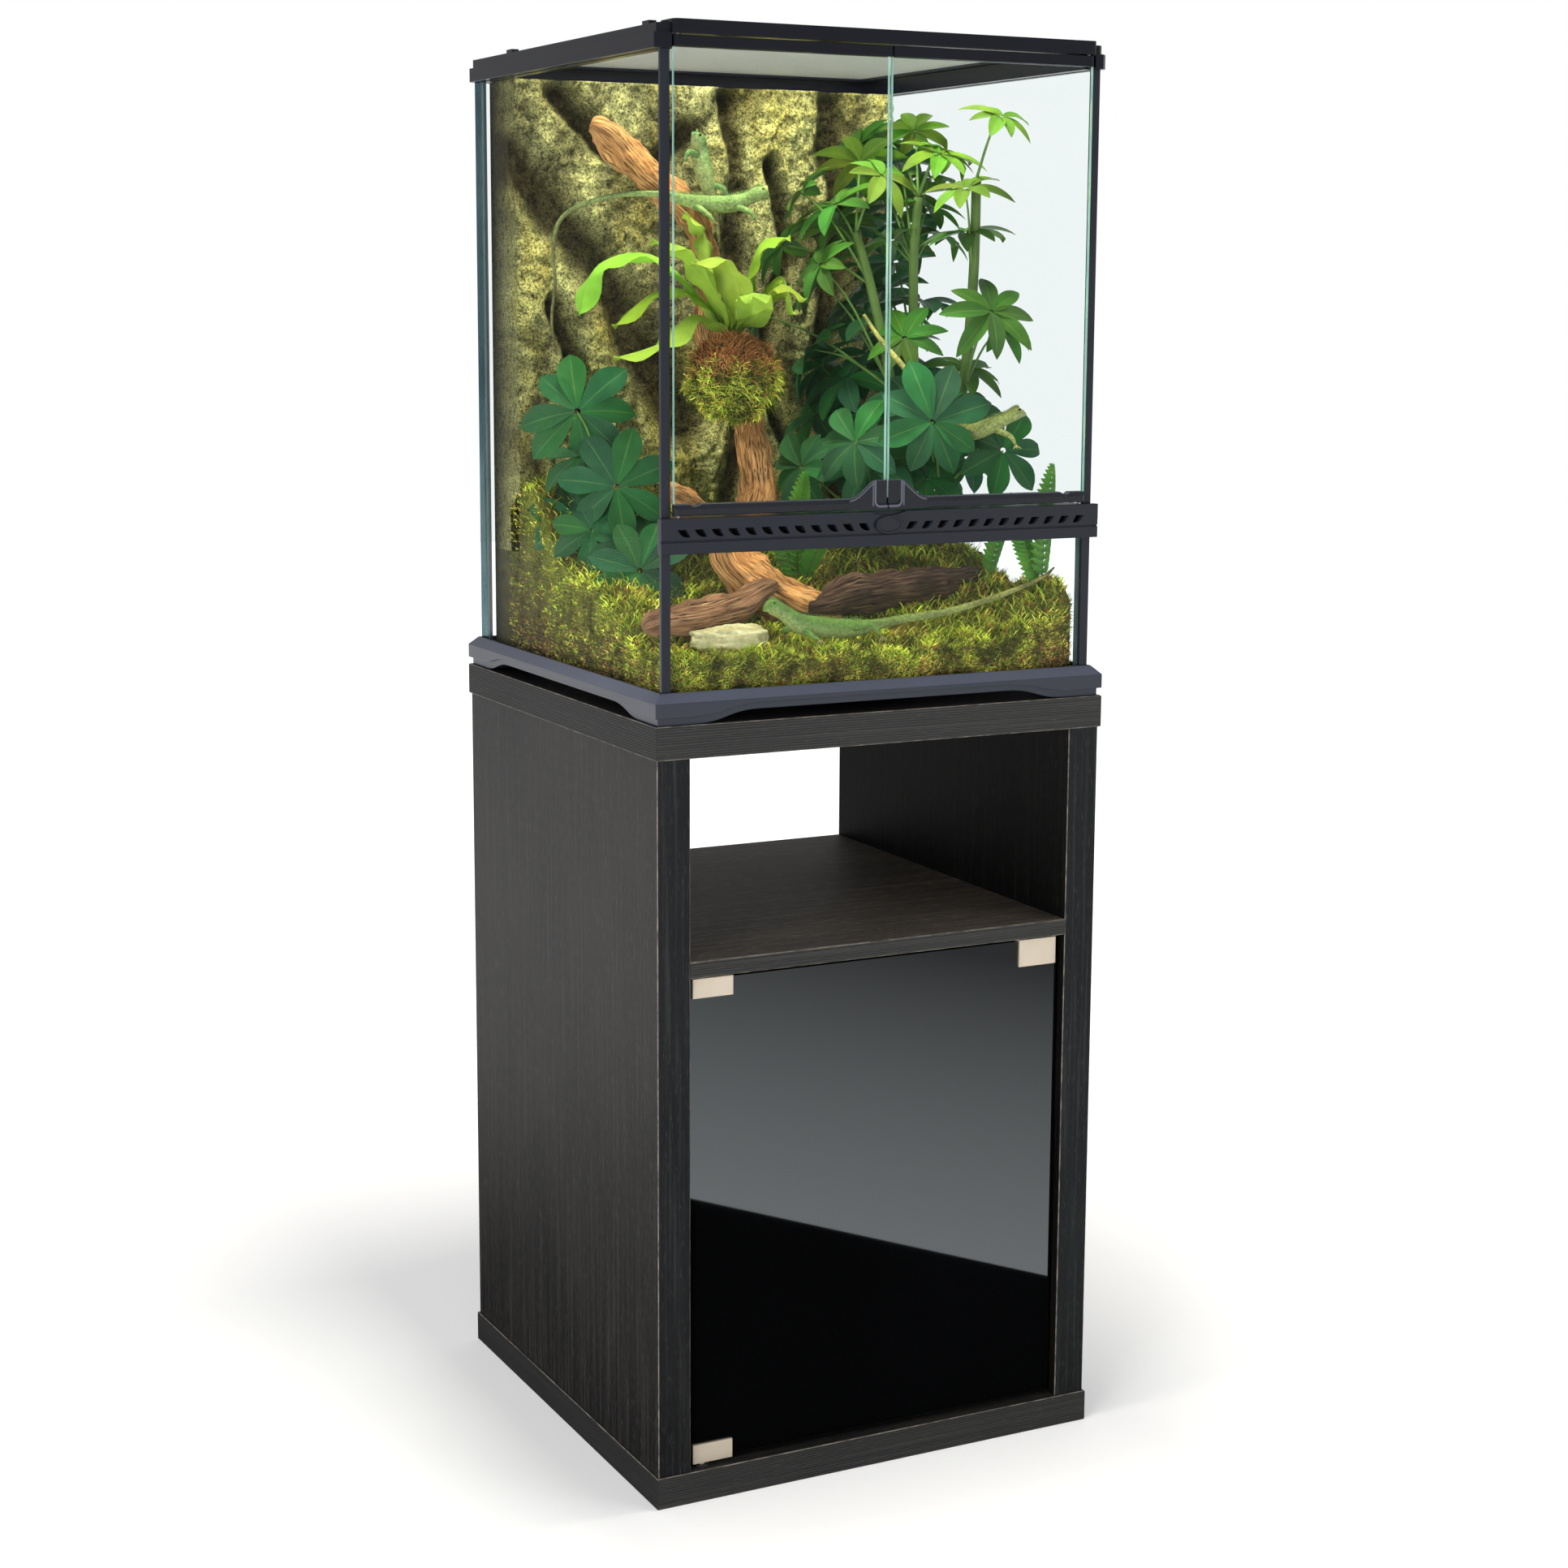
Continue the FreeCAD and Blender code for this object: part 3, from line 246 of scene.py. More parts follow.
def tinted(name, variation, rough, scale, strength, distance=0.001, **values):
    """A material whose base colour is the mesh's own tint, varied by noise."""
    material, tree, shader = new_material(name)
    tint = add(tree, "VertexColor", layer_name="tint").outputs["Color"]
    fine = grain(tree, place(tree, (scale,) * 3), 1.0, 6.0, 0.65)
    shade = ramp(tree, fine, ((0.25, 1.0 - variation), (0.75, 1.0 + variation)))
    colour = mix(tree, 1.0, tint, shade, "MULTIPLY")
    finish(tree, shader, colour, scaled(tree, fine, rough - 0.08, rough + 0.1),
           bump(tree, fine, strength, distance), **values)
    return material


def rock_material(name):
    """Painted rock relief: sandy grit, dark pits and rusty stains over the mesh's own tint."""
    material, tree, shader = new_material(name)
    tint = add(tree, "VertexColor", layer_name="tint").outputs["Color"]
    coarse = grain(tree, place(tree, (170, 170, 130)), 1.0, 8.0, 0.72, 0.4)
    sand = grain(tree, place(tree, (480,) * 3), 1.0, 6.0, 0.8)
    colour = mix(tree, 1.0, tint, ramp(tree, sand, ((0.42, 0.2), (0.5, 0.9), (0.6, 1.45))), "MULTIPLY")
    colour = mix(tree, 1.0, colour, ramp(tree, coarse, ((0.38, 0.3), (0.47, 0.95), (0.6, 1.15))), "MULTIPLY")
    rust = grain(tree, place(tree, (16, 16, 7)), 1.0, 5.0, 0.6)
    stain = mix(tree, 1.0, colour, (0.8, 0.68, 0.32), "MULTIPLY")
    colour = mix(tree, ramp(tree, rust, ((0.48, 0.0), (0.66, 0.8))), colour, stain)
    height = add(tree, "Math", {0: sand, 1: scaled(tree, coarse, 0.0, 3.0)}, operation="ADD").outputs[0]
    finish(tree, shader, colour, scaled(tree, sand, 0.7, 0.95), bump(tree, height, 1.0, 0.0025))
    return material


def driftwood_material(name, pale, mid, dark):
    """Weathered wood: streaks along the branch, dark cracks and pale worn ridges."""
    material, tree, shader = new_material(name)
    streaks = grain(tree, place(tree, (26, 3.2, 1), "UV"), 1.0, 8.0, 0.65, 0.6)
    cracks = grain(tree, place(tree, (60, 5.0, 1), "UV"), 1.0, 5.0, 0.6, 1.2)
    patches = grain(tree, place(tree, (22, 22, 22)), 1.0, 4.0)
    colour = ramp(tree, streaks, ((0.3, dark), (0.46, mid), (0.6, pale), (0.75, mid)))
    colour = mix(tree, ramp(tree, patches, ((0.4, 0.0), (0.68, 0.7))), colour, mid)
    crack = ramp(tree, cracks, ((0.39, 1.0), (0.46, 0.0)))
    colour = mix(tree, crack, colour, tuple(channel * 0.22 for channel in dark))
    height = add(tree, "Math", {0: streaks, 1: crack}, operation="SUBTRACT").outputs[0]
    finish(tree, shader, colour, scaled(tree, streaks, 0.5, 0.8), bump(tree, height, 1.0, 0.004))
    return material


def leaf_material(name, rough=0.36):
    """A leaf: its tone from the mesh, a paler midrib and side veins, and light through the blade."""
    material, tree, shader = new_material(name)
    tint = add(tree, "VertexColor", layer_name="tint").outputs["Color"]
    across = add(tree, "SeparateXYZ", {0: add(tree, "TexCoord").outputs["UV"]})
    offset = add(tree, "Math", {0: across.outputs[0], 1: 0.5}, operation="SUBTRACT")
    distance = add(tree, "Math", {0: offset.outputs[0]}, operation="ABSOLUTE").outputs[0]
    rib = ramp(tree, distance, ((0.0, 0.8), (0.04, 0.0)))
    slant = add(tree, "Math", {0: across.outputs[1], 1: distance}, operation="SUBTRACT").outputs[0]
    wave = add(tree, "Math", {0: slant, 1: 75.0}, operation="MULTIPLY").outputs[0]
    veins = add(tree, "Math", {0: wave}, operation="SINE").outputs[0]
    vein = ramp(tree, veins, ((0.8, 0.0), (1.0, 0.35)))
    mottle = grain(tree, place(tree, (45, 45, 45)), 1.0, 4.0)
    shade = ramp(tree, mottle, ((0.3, 0.78), (0.7, 1.15)))
    colour = mix(tree, 1.0, tint, shade, "MULTIPLY")
    lighter = mix(tree, 0.3, colour, (0.3, 0.45, 0.14))
    colour = mix(tree, rib, mix(tree, vein, colour, lighter), lighter)
    finish(tree, shader, colour, scaled(tree, mottle, rough - 0.06, rough + 0.1),
           bump(tree, veins, 0.12, 0.0006), Specular_IOR_Level=0.35)
    glow = add(tree, "BsdfTranslucent", {"Color": colour})
    share = add(tree, "MixShader", {0: 0.22, 1: shader.outputs[0], 2: glow.outputs[0]})
    tree.links.new(share.outputs[0], tree.nodes["Material Output"].inputs["Surface"])
    return material


# ---------------------------------------------------------------- mesh helpers

class Shape:
    """Collects points and faces, with a tint and a place on the sheet for each point."""

    def __init__(self):
        self.points, self.faces, self.tints, self.sheet = [], [], [], []

    def add(self, points, faces, tint=(1, 1, 1), sheet=None):
        start = len(self.points)
        self.points += [tuple(point) for point in points]
        self.faces += [tuple(start + corner for corner in face) for face in faces]
        tints = tint if isinstance(tint, list) else [tint] * len(points)
        self.tints += [tuple(colour) + (1,) for colour in tints]
        self.sheet += sheet or [(0.5, 0.5)] * len(points)

    def build(self, name, material, smooth=True):
        mesh = bpy.data.meshes.new(name)
        mesh.from_pydata(self.points, [], self.faces)
        layer = mesh.color_attributes.new("tint", "FLOAT_COLOR", "POINT")
        layer.data.foreach_set("color", [channel for tint in self.tints for channel in tint])
        flat = mesh.uv_layers.new(name="sheet")
        corners = [0] * len(mesh.loops)
        mesh.loops.foreach_get("vertex_index", corners)
        flat.data.foreach_set("uv", [value for corner in corners for value in self.sheet[corner]])
        mesh.polygons.foreach_set("use_smooth", [smooth] * len(mesh.polygons))
        mesh.materials.append(material)
        mesh.update()
        piece = bpy.data.objects.new(name, mesh)
        bpy.context.scene.collection.objects.link(piece)
        return piece


def settle(piece, slot, body="root", *nodes):
    """A piece takes its place: it rides on a body and stands for CAD nodes; its slot is not used."""
    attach(piece, body)
    if nodes:
        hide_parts(*nodes)
    return piece


def mm(x, y, z):
    """A point given in millimetres, its height above the stand's top."""
    return Vector((x / 1000, y / 1000, TANK + z / 1000))


def smooth_route(route, steps):
    """Points of a Catmull-Rom curve through rows of numbers."""
    rows = [route[0]] + list(route) + [route[-1]]
    result = []
    for n in range(len(rows) - 3):
        before, start, end, after = rows[n:n + 4]
        for step in range(steps):
            t = step / steps
            result.append([0.5 * (2 * b + (c - a) * t + (2 * a - 5 * b + 4 * c - d) * t * t
                                  + (3 * b - a - 3 * c + d) * t ** 3)
                           for a, b, c, d in zip(before, start, end, after)])
    result.append(list(route[-1]))
    return result


def frames_along(points):
    """A side and an up vector at each point of a path, turning as little as possible."""
    result = []
    side = None
    for n, point in enumerate(points):
        ahead = (points[min(n + 1, len(points) - 1)] - points[max(n - 1, 0)]).normalized()
        if side is None:
            side = ahead.cross(Vector((0.3, 0.2, 1))).normalized()
        side = (side - ahead * side.dot(ahead)).normalized()
        result.append((ahead, side, side.cross(ahead)))
    return result


def sweep(shape, route, sides, surface=None, tint=(1, 1, 1), steps=6, flatten=1.0, turns=1.0):
    """A closed round tube along rows of x, y, height, radius in millimetres; surface(angle, along) scales it."""
    rows = smooth_route(route, steps)
    centres = [mm(*row[:3]) for row in rows]
    frames = frames_along(centres)
    points, sheet, tints = [], [], []
    travelled = 0.0
    for n, (row, centre) in enumerate(zip(rows, centres)):
        travelled += (centre - centres[n - 1]).length if n else 0.0
        for k in range(sides):
            angle = 2 * math.pi * k / sides
            swell = surface(angle, travelled) if surface else 1.0
            reach = row[3] / 1000 * swell
            points.append(centre + frames[n][1] * math.cos(angle) * reach
                          + frames[n][2] * math.sin(angle) * reach * flatten)
            sheet.append((abs(2 * k / sides - 1) * turns, travelled * 10))
            tints.append(tint(angle, n / (len(rows) - 1)) if callable(tint) else tint)
    count = len(rows)
    faces = [(n * sides + k, n * sides + (k + 1) % sides, (n + 1) * sides + (k + 1) % sides, (n + 1) * sides + k)
             for n in range(count - 1) for k in range(sides)]
    faces.append(tuple(reversed(range(sides))))
    faces.append(tuple(range((count - 1) * sides, count * sides)))
    shape.add(points, faces, tints, sheet)


# ---------------------------------------------------------------- cabinet and mouldings

def paint(material, *names):
    """Gives CAD nodes one material."""
    for name in names:
        mesh = NODES[name].data
        mesh.materials.clear()
        mesh.materials.append(material)


def paint_sides(name, chosen, choose):
    """Gives each face of a CAD node the material that choose picks for it."""
    mesh = NODES[name].data
    mesh.materials.clear()
    for material in chosen:
        mesh.materials.append(material)
    for face in mesh.polygons:
        face.material_index = choose(face)


def is_bevel(face):
    """True for a narrow sloping face between two square ones."""
    return max(abs(value) for value in face.normal) < 0.85


def dress_cabinet():
    """Veneer by the grain's direction on each face, and light lines on the bevels; lighter and darker copies of the
    veneer paint light on the shelf top and shade on the boards' ends and the side panels' front and inner faces.
    """
    # Painted shade: the boards' end faces, looking left and right, take the veneer at about half its tone and with
    # little gloss.
    level_x, shaded_level_y = oak_veneer("oak_along_x", "x", True), oak_veneer("oak_along_y_painted_shade", "y", True, (0.5, 0.52, 0.54), 0.06)
    top_face, upright = oak_veneer("oak_top", "x"), oak_veneer("oak_upright", "z")
    edge = cut_edge("oak_cut_edge")
    # Painted light: the shelf top is the same veneer made about five times lighter and warmer.
    lit_shelf_face = oak_veneer("oak_shelf_top_painted_light", "x", tone=(5.6, 4.9, 4.2))
    # Painted shade: the side panels' front faces take the veneer darker and cooler.
    shaded_stile = oak_veneer("oak_stile_painted_shade", "z", tone=(0.72, 0.8, 0.9))
    # Painted shade: the side panels' inner faces take the veneer at a third of its tone, with almost no gloss.
    shaded_inner = oak_veneer("oak_inner_painted_shade", "z", tone=(0.3, 0.3, 0.3), specular=0.04)
    for name in ("stand_top_board", "stand_bottom_board", "stand_shelf"):
        top = lit_shelf_face if name == "stand_shelf" else top_face
        paint_sides(name, (level_x, shaded_level_y, top, edge), lambda face: 3 if is_bevel(face) else (
            2 if abs(face.normal.z) > 0.7 else (1 if abs(face.normal.x) > 0.7 else 0)))
    for name in ("stand_left_side", "stand_right_side"):
        inwards = 1 if "left" in name else -1
        paint_sides(name, (upright, edge, shaded_stile, shaded_inner), lambda face, inwards=inwards: 1 if is_bevel(face) else (
            2 if face.normal.y < -0.9 else (3 if face.normal.x * inwards > 0.9 else 0)))
    paint(upright, "stand_back_panel")
    paint(plain_stuff("beech", (0.42, 0.27, 0.14), (0.56, 0.38, 0.21), 0.6), "stand_dowels")
    paint(satin_metal("zinc", (0.6, 0.6, 0.62)), "shelf_pins", "clip_screws", "left_door_pins", "right_door_pins")
    paint(plain_stuff("nylon", (0.02, 0.02, 0.022), (0.035, 0.035, 0.038), 0.5),
          "hinge_bush_upper", "hinge_bush_lower", "latch_housing", "latch_plunger")
    paint(satin_metal("champagne_nickel", (0.66, 0.57, 0.45), 0.42, metallic=0.3),
          "door_clip_upper", "door_clip_lower", "door_strike_plate")
    paint(dark_door_glass("dark_glass"), "cabinet_door_glass")


def dress_tank():
    """Mouldings, panes with green edges, and silicone."""
    satin = moulded_plastic("satin_plastic", (0.026, 0.03, 0.043), 0.34)
    # Painted sheen: the base frame's sloping bevels get this lighter, bluer plastic.
    painted_bevel_sheen = moulded_plastic("base_bevel_painted_sheen", (0.062, 0.07, 0.104), 0.34)
    # Painted highlight: the sloping bevels of the vent bar, lock knob and lid frame get this lighter plastic.
    edge_highlight = moulded_plastic("bevel_highlight_plastic", (0.026, 0.03, 0.044), 0.26, 0.06)
    glossy = moulded_plastic("glossy_plastic", (0.0035, 0.0042, 0.008), 0.22, 0.04, specular=0.35)
    slate = moulded_plastic("slate_plastic", (0.011, 0.0135, 0.021), 0.3, 0.08, specular=0.4)
    paint(slate, "front_left_post", "front_right_post")
    paint(glossy, "top_frame", "lid_frame", "lid_clip_left_front", "lid_clip_left_back", "lid_clip_right_front",
          "lid_clip_right_back", "left_door_top_rail", "right_door_top_rail", "left_door_bottom_rail",
          "right_door_bottom_rail")
    # Sloping faces take the lighter plastic: painted sheen on the base frame, painted highlights on the others.
    for name, flat, slanted in (("base_frame", satin, painted_bevel_sheen), ("vent_bar", slate, edge_highlight), ("lock_knob", slate, edge_highlight),
                                ("lid_frame", glossy, edge_highlight)):
        paint_sides(name, (flat, slanted), lambda face: 1 if is_bevel(face) else 0)
    paint(plain_stuff("silicone", (0.05, 0.08, 0.08), (0.12, 0.17, 0.16), 0.35), "corner_seals")
    paint(plain_stuff("screen", (0.004, 0.004, 0.005), (0.02, 0.02, 0.022), 0.5, 900), "vent_screen")
    pane, side_pane = clear_glass("clear_glass", (0.968, 0.985, 0.984)), clear_glass("side_glass", (0.97, 0.985, 0.984), 0.07)
    pale = glass_edge("green_edge", (0.22, 0.46, 0.41), (0.5, 0.78, 0.7))
    deep = glass_edge("deep_green_edge", (0.02, 0.05, 0.06), (0.06, 0.12, 0.14))
    for name, axis in (("left_glass", 0), ("right_glass", 0), ("back_glass", 1), ("front_lower_glass", 1),
                       ("left_door_glass", 1), ("right_door_glass", 1), ("bottom_glass", 2)):
        edge = pale if "door" in name else deep
        paint_sides(name, (side_pane if name == "left_glass" else pane, edge), lambda face, axis=axis: 0 if abs(face.normal[axis]) > 0.7 else 1)


def build_lid_mesh():
    """Crossed steel wires that pass over and under each other."""
    low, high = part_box("lid_mesh")
    pitch, thickness = 0.0028, 0.00042
    level = (low.z + high.z) / 2
    shape = Shape()
    spans = ((low.x, high.x, low.y, high.y, False), (low.y, high.y, low.x, high.x, True))
    for start, end, first, last, swap in spans:
        wires = int((last - first) / pitch)
        crossings = int((end - start) / pitch)
        for wire in range(1, wires):
            offset = first + wire * pitch
            points = []
            for n in range(crossings + 1):
                along = min(start + n * pitch, end)
                lift = thickness * 0.55 * (1 if (n + wire + swap) % 2 else -1)
                for side, up in ((-1, 0), (0, 1), (1, 0), (0, -1)):
                    across = offset + side * thickness / 2
                    height = level + lift + up * thickness / 2
                    points.append((across, along, height) if swap else (along, across, height))
            faces = [(4 * n + k, 4 * n + (k + 1) % 4, 4 * n + 4 + (k + 1) % 4, 4 * n + 4 + k)
                     for n in range(crossings) for k in range(4)]
            faces += [(3, 2, 1, 0), tuple(4 * crossings + k for k in range(4))]
            shape.add(points, faces)
    steel = satin_metal("mesh_wire", (0.46, 0.47, 0.44), 0.4, (400, 400, 400), 0.2)
    settle(shape.build("lid_wire_mesh", steel, False), "mesh_steel", "lid", "lid_mesh")


def step(value, start, end):
    """Rises smoothly from 0 at start to 1 at end."""
    t = min(1.0, max(0.0, (value - start) / (end - start)))
    return t * t * (3 - 2 * t)


def along_table(table, value):
    """A value read between the rows of a table that rises in its first column."""
    for (x0, y0), (x1, y1) in zip(table, table[1:]):
        if value <= x1:
            return y0 + (y1 - y0) * max(0.0, value - x0) / (x1 - x0)
    return table[-1][1]


RAIL_BOTTOM = 182
PULL_TOP = ((0, 208), (11, 208), (14, 207.6), (16.5, 206.6), (19, 204.6), (26, 198.6), (31, 195), (35, 193),
            (40, 192.1), (44, 192), (183, 192), (186, 190.6), (191, 190), (194, 192), (212, 192))


def pull_front(x, z):
    """How far forward the lower rail's face is, in millimetres: its bevel, the U recess and the two ears."""
    top = along_table(PULL_TOP, x)
    pull = step(x, 41, 35)
    face = 227 + 2.8 * pull
    inside_x, inside_z = max(0.0, x - 8.5), max(0.0, 189.5 - z)
    well = step(math.hypot(inside_x, inside_z), 4.0, 2.9)
    ear = step(x, 15.2, 16.2) * step(z, 185.6, 186.4) * step(top - z, 2.0, 2.9)
    rim = step(abs(math.hypot(inside_x, inside_z) - 4.9), 0.8, 0.1) * (0.25 if z > 184 else 0)
    slope = 3.4 * step(x, 39, 45) * max(0.0, (z - 188) / 4)
    edge = 0.8 * step(top - z, 0.7, 0.0) + 0.8 * step(z, RAIL_BOTTOM + 0.7, RAIL_BOTTOM)
    notch = 1.6 * step(abs(x - 189), 4.5, 2.0)
    return face - 4.6 * well - 2.4 * ear * pull + rim * pull - slope - edge - notch


def pull_highlight_tone(x, z):
    """The rail's colour: black, with painted highlights as lighter rims round the U recess, the ears and the top."""
    top = along_table(PULL_TOP, x)
    ring = math.hypot(max(0.0, x - 8.5), max(0.0, 189.5 - z))
    rim = step(abs(ring - 5.0), 1.2, 0.5) * (1.0 if z > 183 else 0.4) * step(x, 15, 14)
    ear = step(abs(top - z - 2.3), 0.8, 0.3) * step(x, 14, 15) * step(x, 40, 38) + 0.8 * step(abs(x - 15.6), 0.9, 0.4)
    edge_highlight = 0.45 * step(top - z, 1.0, 0.3)
    light = min(1.0, max(rim, ear * step(z, 184, 186), edge_highlight))
    return tuple(Vector((0.004, 0.005, 0.009)).lerp(Vector((0.085, 0.093, 0.12)), light))


def build_pulls():
    """The doors' lower rails with the two halves of the finger pull."""
    satin = tinted("pull_plastic", 0.08, 0.24, 900, 0.05, 0.0002)
    columns = [1.0 + 0.4 * n for n in range(110)] + [46 + 3 * n for n in range(46)] + [182 + n for n in range(29)]
    rows = 64
    for side, body in ((-1, "left_door"), (1, "right_door")):
        shape = Shape()
        points, highlight_tones = [], []
        for back in (False, True):
            for x in columns:
                top = along_table(PULL_TOP, x)
                end = max(0.0, x - 205)
                reach = math.sqrt(max(0.2, 25 - end * end))
                for j in range(rows + 1):
                    z = RAIL_BOTTOM + (top - RAIL_BOTTOM) * j / rows
                    if back:
                        y = 217 if z <= 192.01 else 224.1
                        y = 222 - reach if end else y
                    else:
                        y = min(pull_front(x, z), 222 + reach)
                    points.append((side * x / 1000, -y / 1000, TANK + z / 1000))
                    # Each point's tint is black plastic with painted highlights on the rims.
                    highlight_tones.append(pull_highlight_tone(x, z))
        stride, half = rows + 1, len(columns) * (rows + 1)
        faces = []
        for i in range(len(columns) - 1):
            for j in range(rows):
                a = i * stride + j
                faces.append((a, a + 1, a + stride + 1, a + stride))
                faces.append((half + a, half + a + stride, half + a + stride + 1, half + a + 1))
            for j in (0, rows):
                a = i * stride + j
                quad = (a, a + stride, half + a + stride, half + a)
                faces.append(quad if j == 0 else quad[::-1])
        last = (len(columns) - 1) * stride
        for j in range(rows):
            faces.append((j, half + j, half + j + 1, j + 1))
            faces.append((last + j, last + j + 1, half + last + j + 1, half + last + j))
        if side > 0:
            faces = [face[::-1] for face in faces]
        shape.add(points, faces, highlight_tones)
        piece = shape.build(body + "_pull", satin)
        settle(piece, "grey_black_plastic", body, body + "_bottom_rail")


# ---------------------------------------------------------------- rock wall

CREVICES = ((0.034, ((-0.215, 1.225), (-0.17, 1.175), (-0.115, 1.105), (-0.085, 1.05), (-0.06, 1.02), (-0.03, 0.96))),
            (0.018, ((0.02, 1.28), (0.03, 1.17), (0.012, 1.06), (0.03, 0.96), (0.01, 0.85))),
            (0.022, ((0.14, 1.28), (0.15, 1.13), (0.125, 1.0), (0.16, 0.86))),
            (0.016, ((-0.16, 1.28), (-0.12, 1.235), (-0.06, 1.215), (-0.02, 1.25))),
            (0.013, ((0.07, 1.22), (0.085, 1.12), (0.06, 1.03), (0.09, 0.93))),
            (0.014, ((-0.16, 1.08), (-0.15, 1.0), (-0.12, 0.94), (-0.13, 0.86))))


def nearest(x, z, route):
    """The distance from a place on the wall to a broken line."""
    best = 1.0
    for (x0, z0), (x1, z1) in zip(route, route[1:]):
        run, rise = x1 - x0, z1 - z0
        share = min(1.0, max(0.0, ((x - x0) * run + (z - z0) * rise) / (run * run + rise * rise)))
        best = min(best, math.hypot(x - x0 - share * run, z - z0 - share * rise))
    return best


def rock_depth(x, z):
    """How far the rock stands out at a place on the wall, in metres, and how open its face is to the light."""
    folds = noise.fractal(Vector((x * 7, 0.4, z * 4.2 + x * 2.0)), 0.9, 2.1, 4)
    slabs = noise.voronoi(Vector((x * 9 + folds * 0.7, 1.3, z * 5)))[0]
    crack = min(1.0, (slabs[1] - slabs[0]) * 4.5)
    wander = 0.012 * noise.noise(Vector((x * 20, 7.0, z * 20)))
    gap = min(nearest(x + wander, z, route) / width for width, route in CREVICES)
    gully = min(1.0, max(0.0, (gap - 0.3) / 0.7))
    ridges = noise.ridged_multi_fractal(Vector((x * 16, 2.2, z * 11)), 0.9, 2.2, 4, 1.0, 2.0)
    pits = noise.fractal(Vector((x * 90, 5.0, z * 90)), 0.8, 2.0, 3)
    depth = 0.004 + 0.008 * folds + 0.005 * crack + 0.016 * gully + 0.003 * ridges + 0.0024 * pits
    return depth, min(0.35 + 0.65 * crack, 0.12 + 0.88 * gully)


def build_rock():
    """A rock-relief back wall, closed all round."""
    columns, rows = 230, 310
    left, right = ROCK_LOW.x, ROCK_HIGH.x
    bottom, top = ROCK_LOW.z, ROCK_HIGH.z
    back = ROCK_HIGH.y
    shape = Shape()
    points, tints = [], []
    for j in range(rows + 1):
        for i in range(columns + 1):
            x = left + (right - left) * i / columns
            z = bottom + (top - bottom) * j / rows
            depth, crack = rock_depth(x, z)
            if z < TANK + 0.12:
                depth = ROCK_LOW.y + 0.0015 - SOIL_HIGH.y
            points.append((x, ROCK_LOW.y + 0.002 - max(depth, -0.01), z))
            stain = 0.5 + 0.5 * noise.fractal(Vector((x * 12, 9.0, z * 9)), 0.8, 2.0, 4)
            speck = 0.5 + 0.5 * noise.noise(Vector((x * 160, 3.0, z * 160)))
            # Painted shade: the second value from rock_depth, held as crack, is how open the face is to the light, and
            # the tint runs to dark brown where the relief sinks and in cracks and gullies.
            light = min(1.0, max(0.0, (depth + 0.004) / 0.03)) * crack
            pale = Vector((0.84, 0.84, 0.32)).lerp(Vector((0.5, 0.47, 0.16)), min(1, max(0, stain * 1.6 - 0.4)))
            grit = max(0.0, min(1.0, 0.5 + 1.6 * noise.fractal(Vector((x * 60, 1.0, z * 60)), 0.7, 2.0, 4)))
            tint = Vector((0.045, 0.034, 0.012)).lerp(pale, light * (0.72 + 0.28 * grit)) * (0.85 + 0.3 * speck)
            tints.append(tuple(tint))
    stride = columns + 1
    faces = [(j * stride + i, j * stride + i + 1, (j + 1) * stride + i + 1, (j + 1) * stride + i)
             for j in range(rows) for i in range(columns)]
    rim = [i for i in range(stride)] + [j * stride + columns for j in range(1, rows + 1)]
    rim += [rows * stride + i for i in reversed(range(columns))] + [j * stride for j in reversed(range(1, rows))]
    first = len(points)
    points += [(points[n][0], back, points[n][2]) for n in rim]
    tints += [(0.05, 0.045, 0.02)] * len(rim)
    faces += [(rim[n], first + n, first + (n + 1) % len(rim), rim[(n + 1) % len(rim)]) for n in range(len(rim))]
    faces.append(tuple(first + n for n in reversed(range(len(rim)))))
    shape.add(points, faces, tints)
    settle(shape.build("rock_back_wall", rock_material("rock_relief")), "rock_foam", "root", "background_panel")


# ---------------------------------------------------------------- moss

MOUNDS = ((0.205, -0.18, 0.042, 0.05), (0.17, -0.07, 0.08, 0.034), (-0.10, 0.11, 0.09, 0.03),
          (-0.19, 0.12, 0.06, 0.05), (0.09, 0.05, 0.08, 0.03), (-0.2, -0.06, 0.05, 0.012),
          (0.19, 0.1, 0.07, 0.04), (-0.02, 0.02, 0.06, 0.02))
SOIL_PROFILE = ((-0.207, 0.05), (-0.145, 0.058), (-0.1, 0.07), (-0.04, 0.094), (0.165, 0.134))


def soil_height(x, y):
    """The moss bed's height above the stand at a place, in metres."""
    mounds = sum(height * math.exp(-((x - mx) ** 2 + (y - my) ** 2) / reach ** 2)
                 for mx, my, reach, height in MOUNDS)
    lumps = noise.fractal(Vector((x * 28, y * 28, 0.7)), 0.8, 2.0, 4) * 0.007
    return along_table(SOIL_PROFILE, y) + mounds + lumps


MOSS_TONES = ((0.34, 0.43, 0.035), (0.58, 0.62, 0.08), (0.17, 0.27, 0.02), (0.5, 0.38, 0.09), (0.34, 0.14, 0.04))


def moss_tone(at, spin, brown):
    """A strand's colour: green and yellow-green, with brown patches."""
    patch = noise.fractal(Vector(at) * 22, 0.8, 2.0, 3)
    shade = noise.fractal(Vector(at) * 60 + Vector((5, 0, 0)), 0.8, 2.0, 3)
    if spin.random() < brown + max(0.0, patch) * 0.5:
        tone = MOSS_TONES[spin.choice((3, 4))]
    else:
        tone = MOSS_TONES[spin.choice((0, 0, 1, 1, 2))]
    # Painted shade: a broad noise darkens whole patches of strands for the shade in the gaps between tufts; each
    # strand's level also differs at random.
    level = max(0.22, 0.95 + 1.3 * shade) * (0.7 + 0.6 * spin.random())
    return tuple(channel * level for channel in tone)


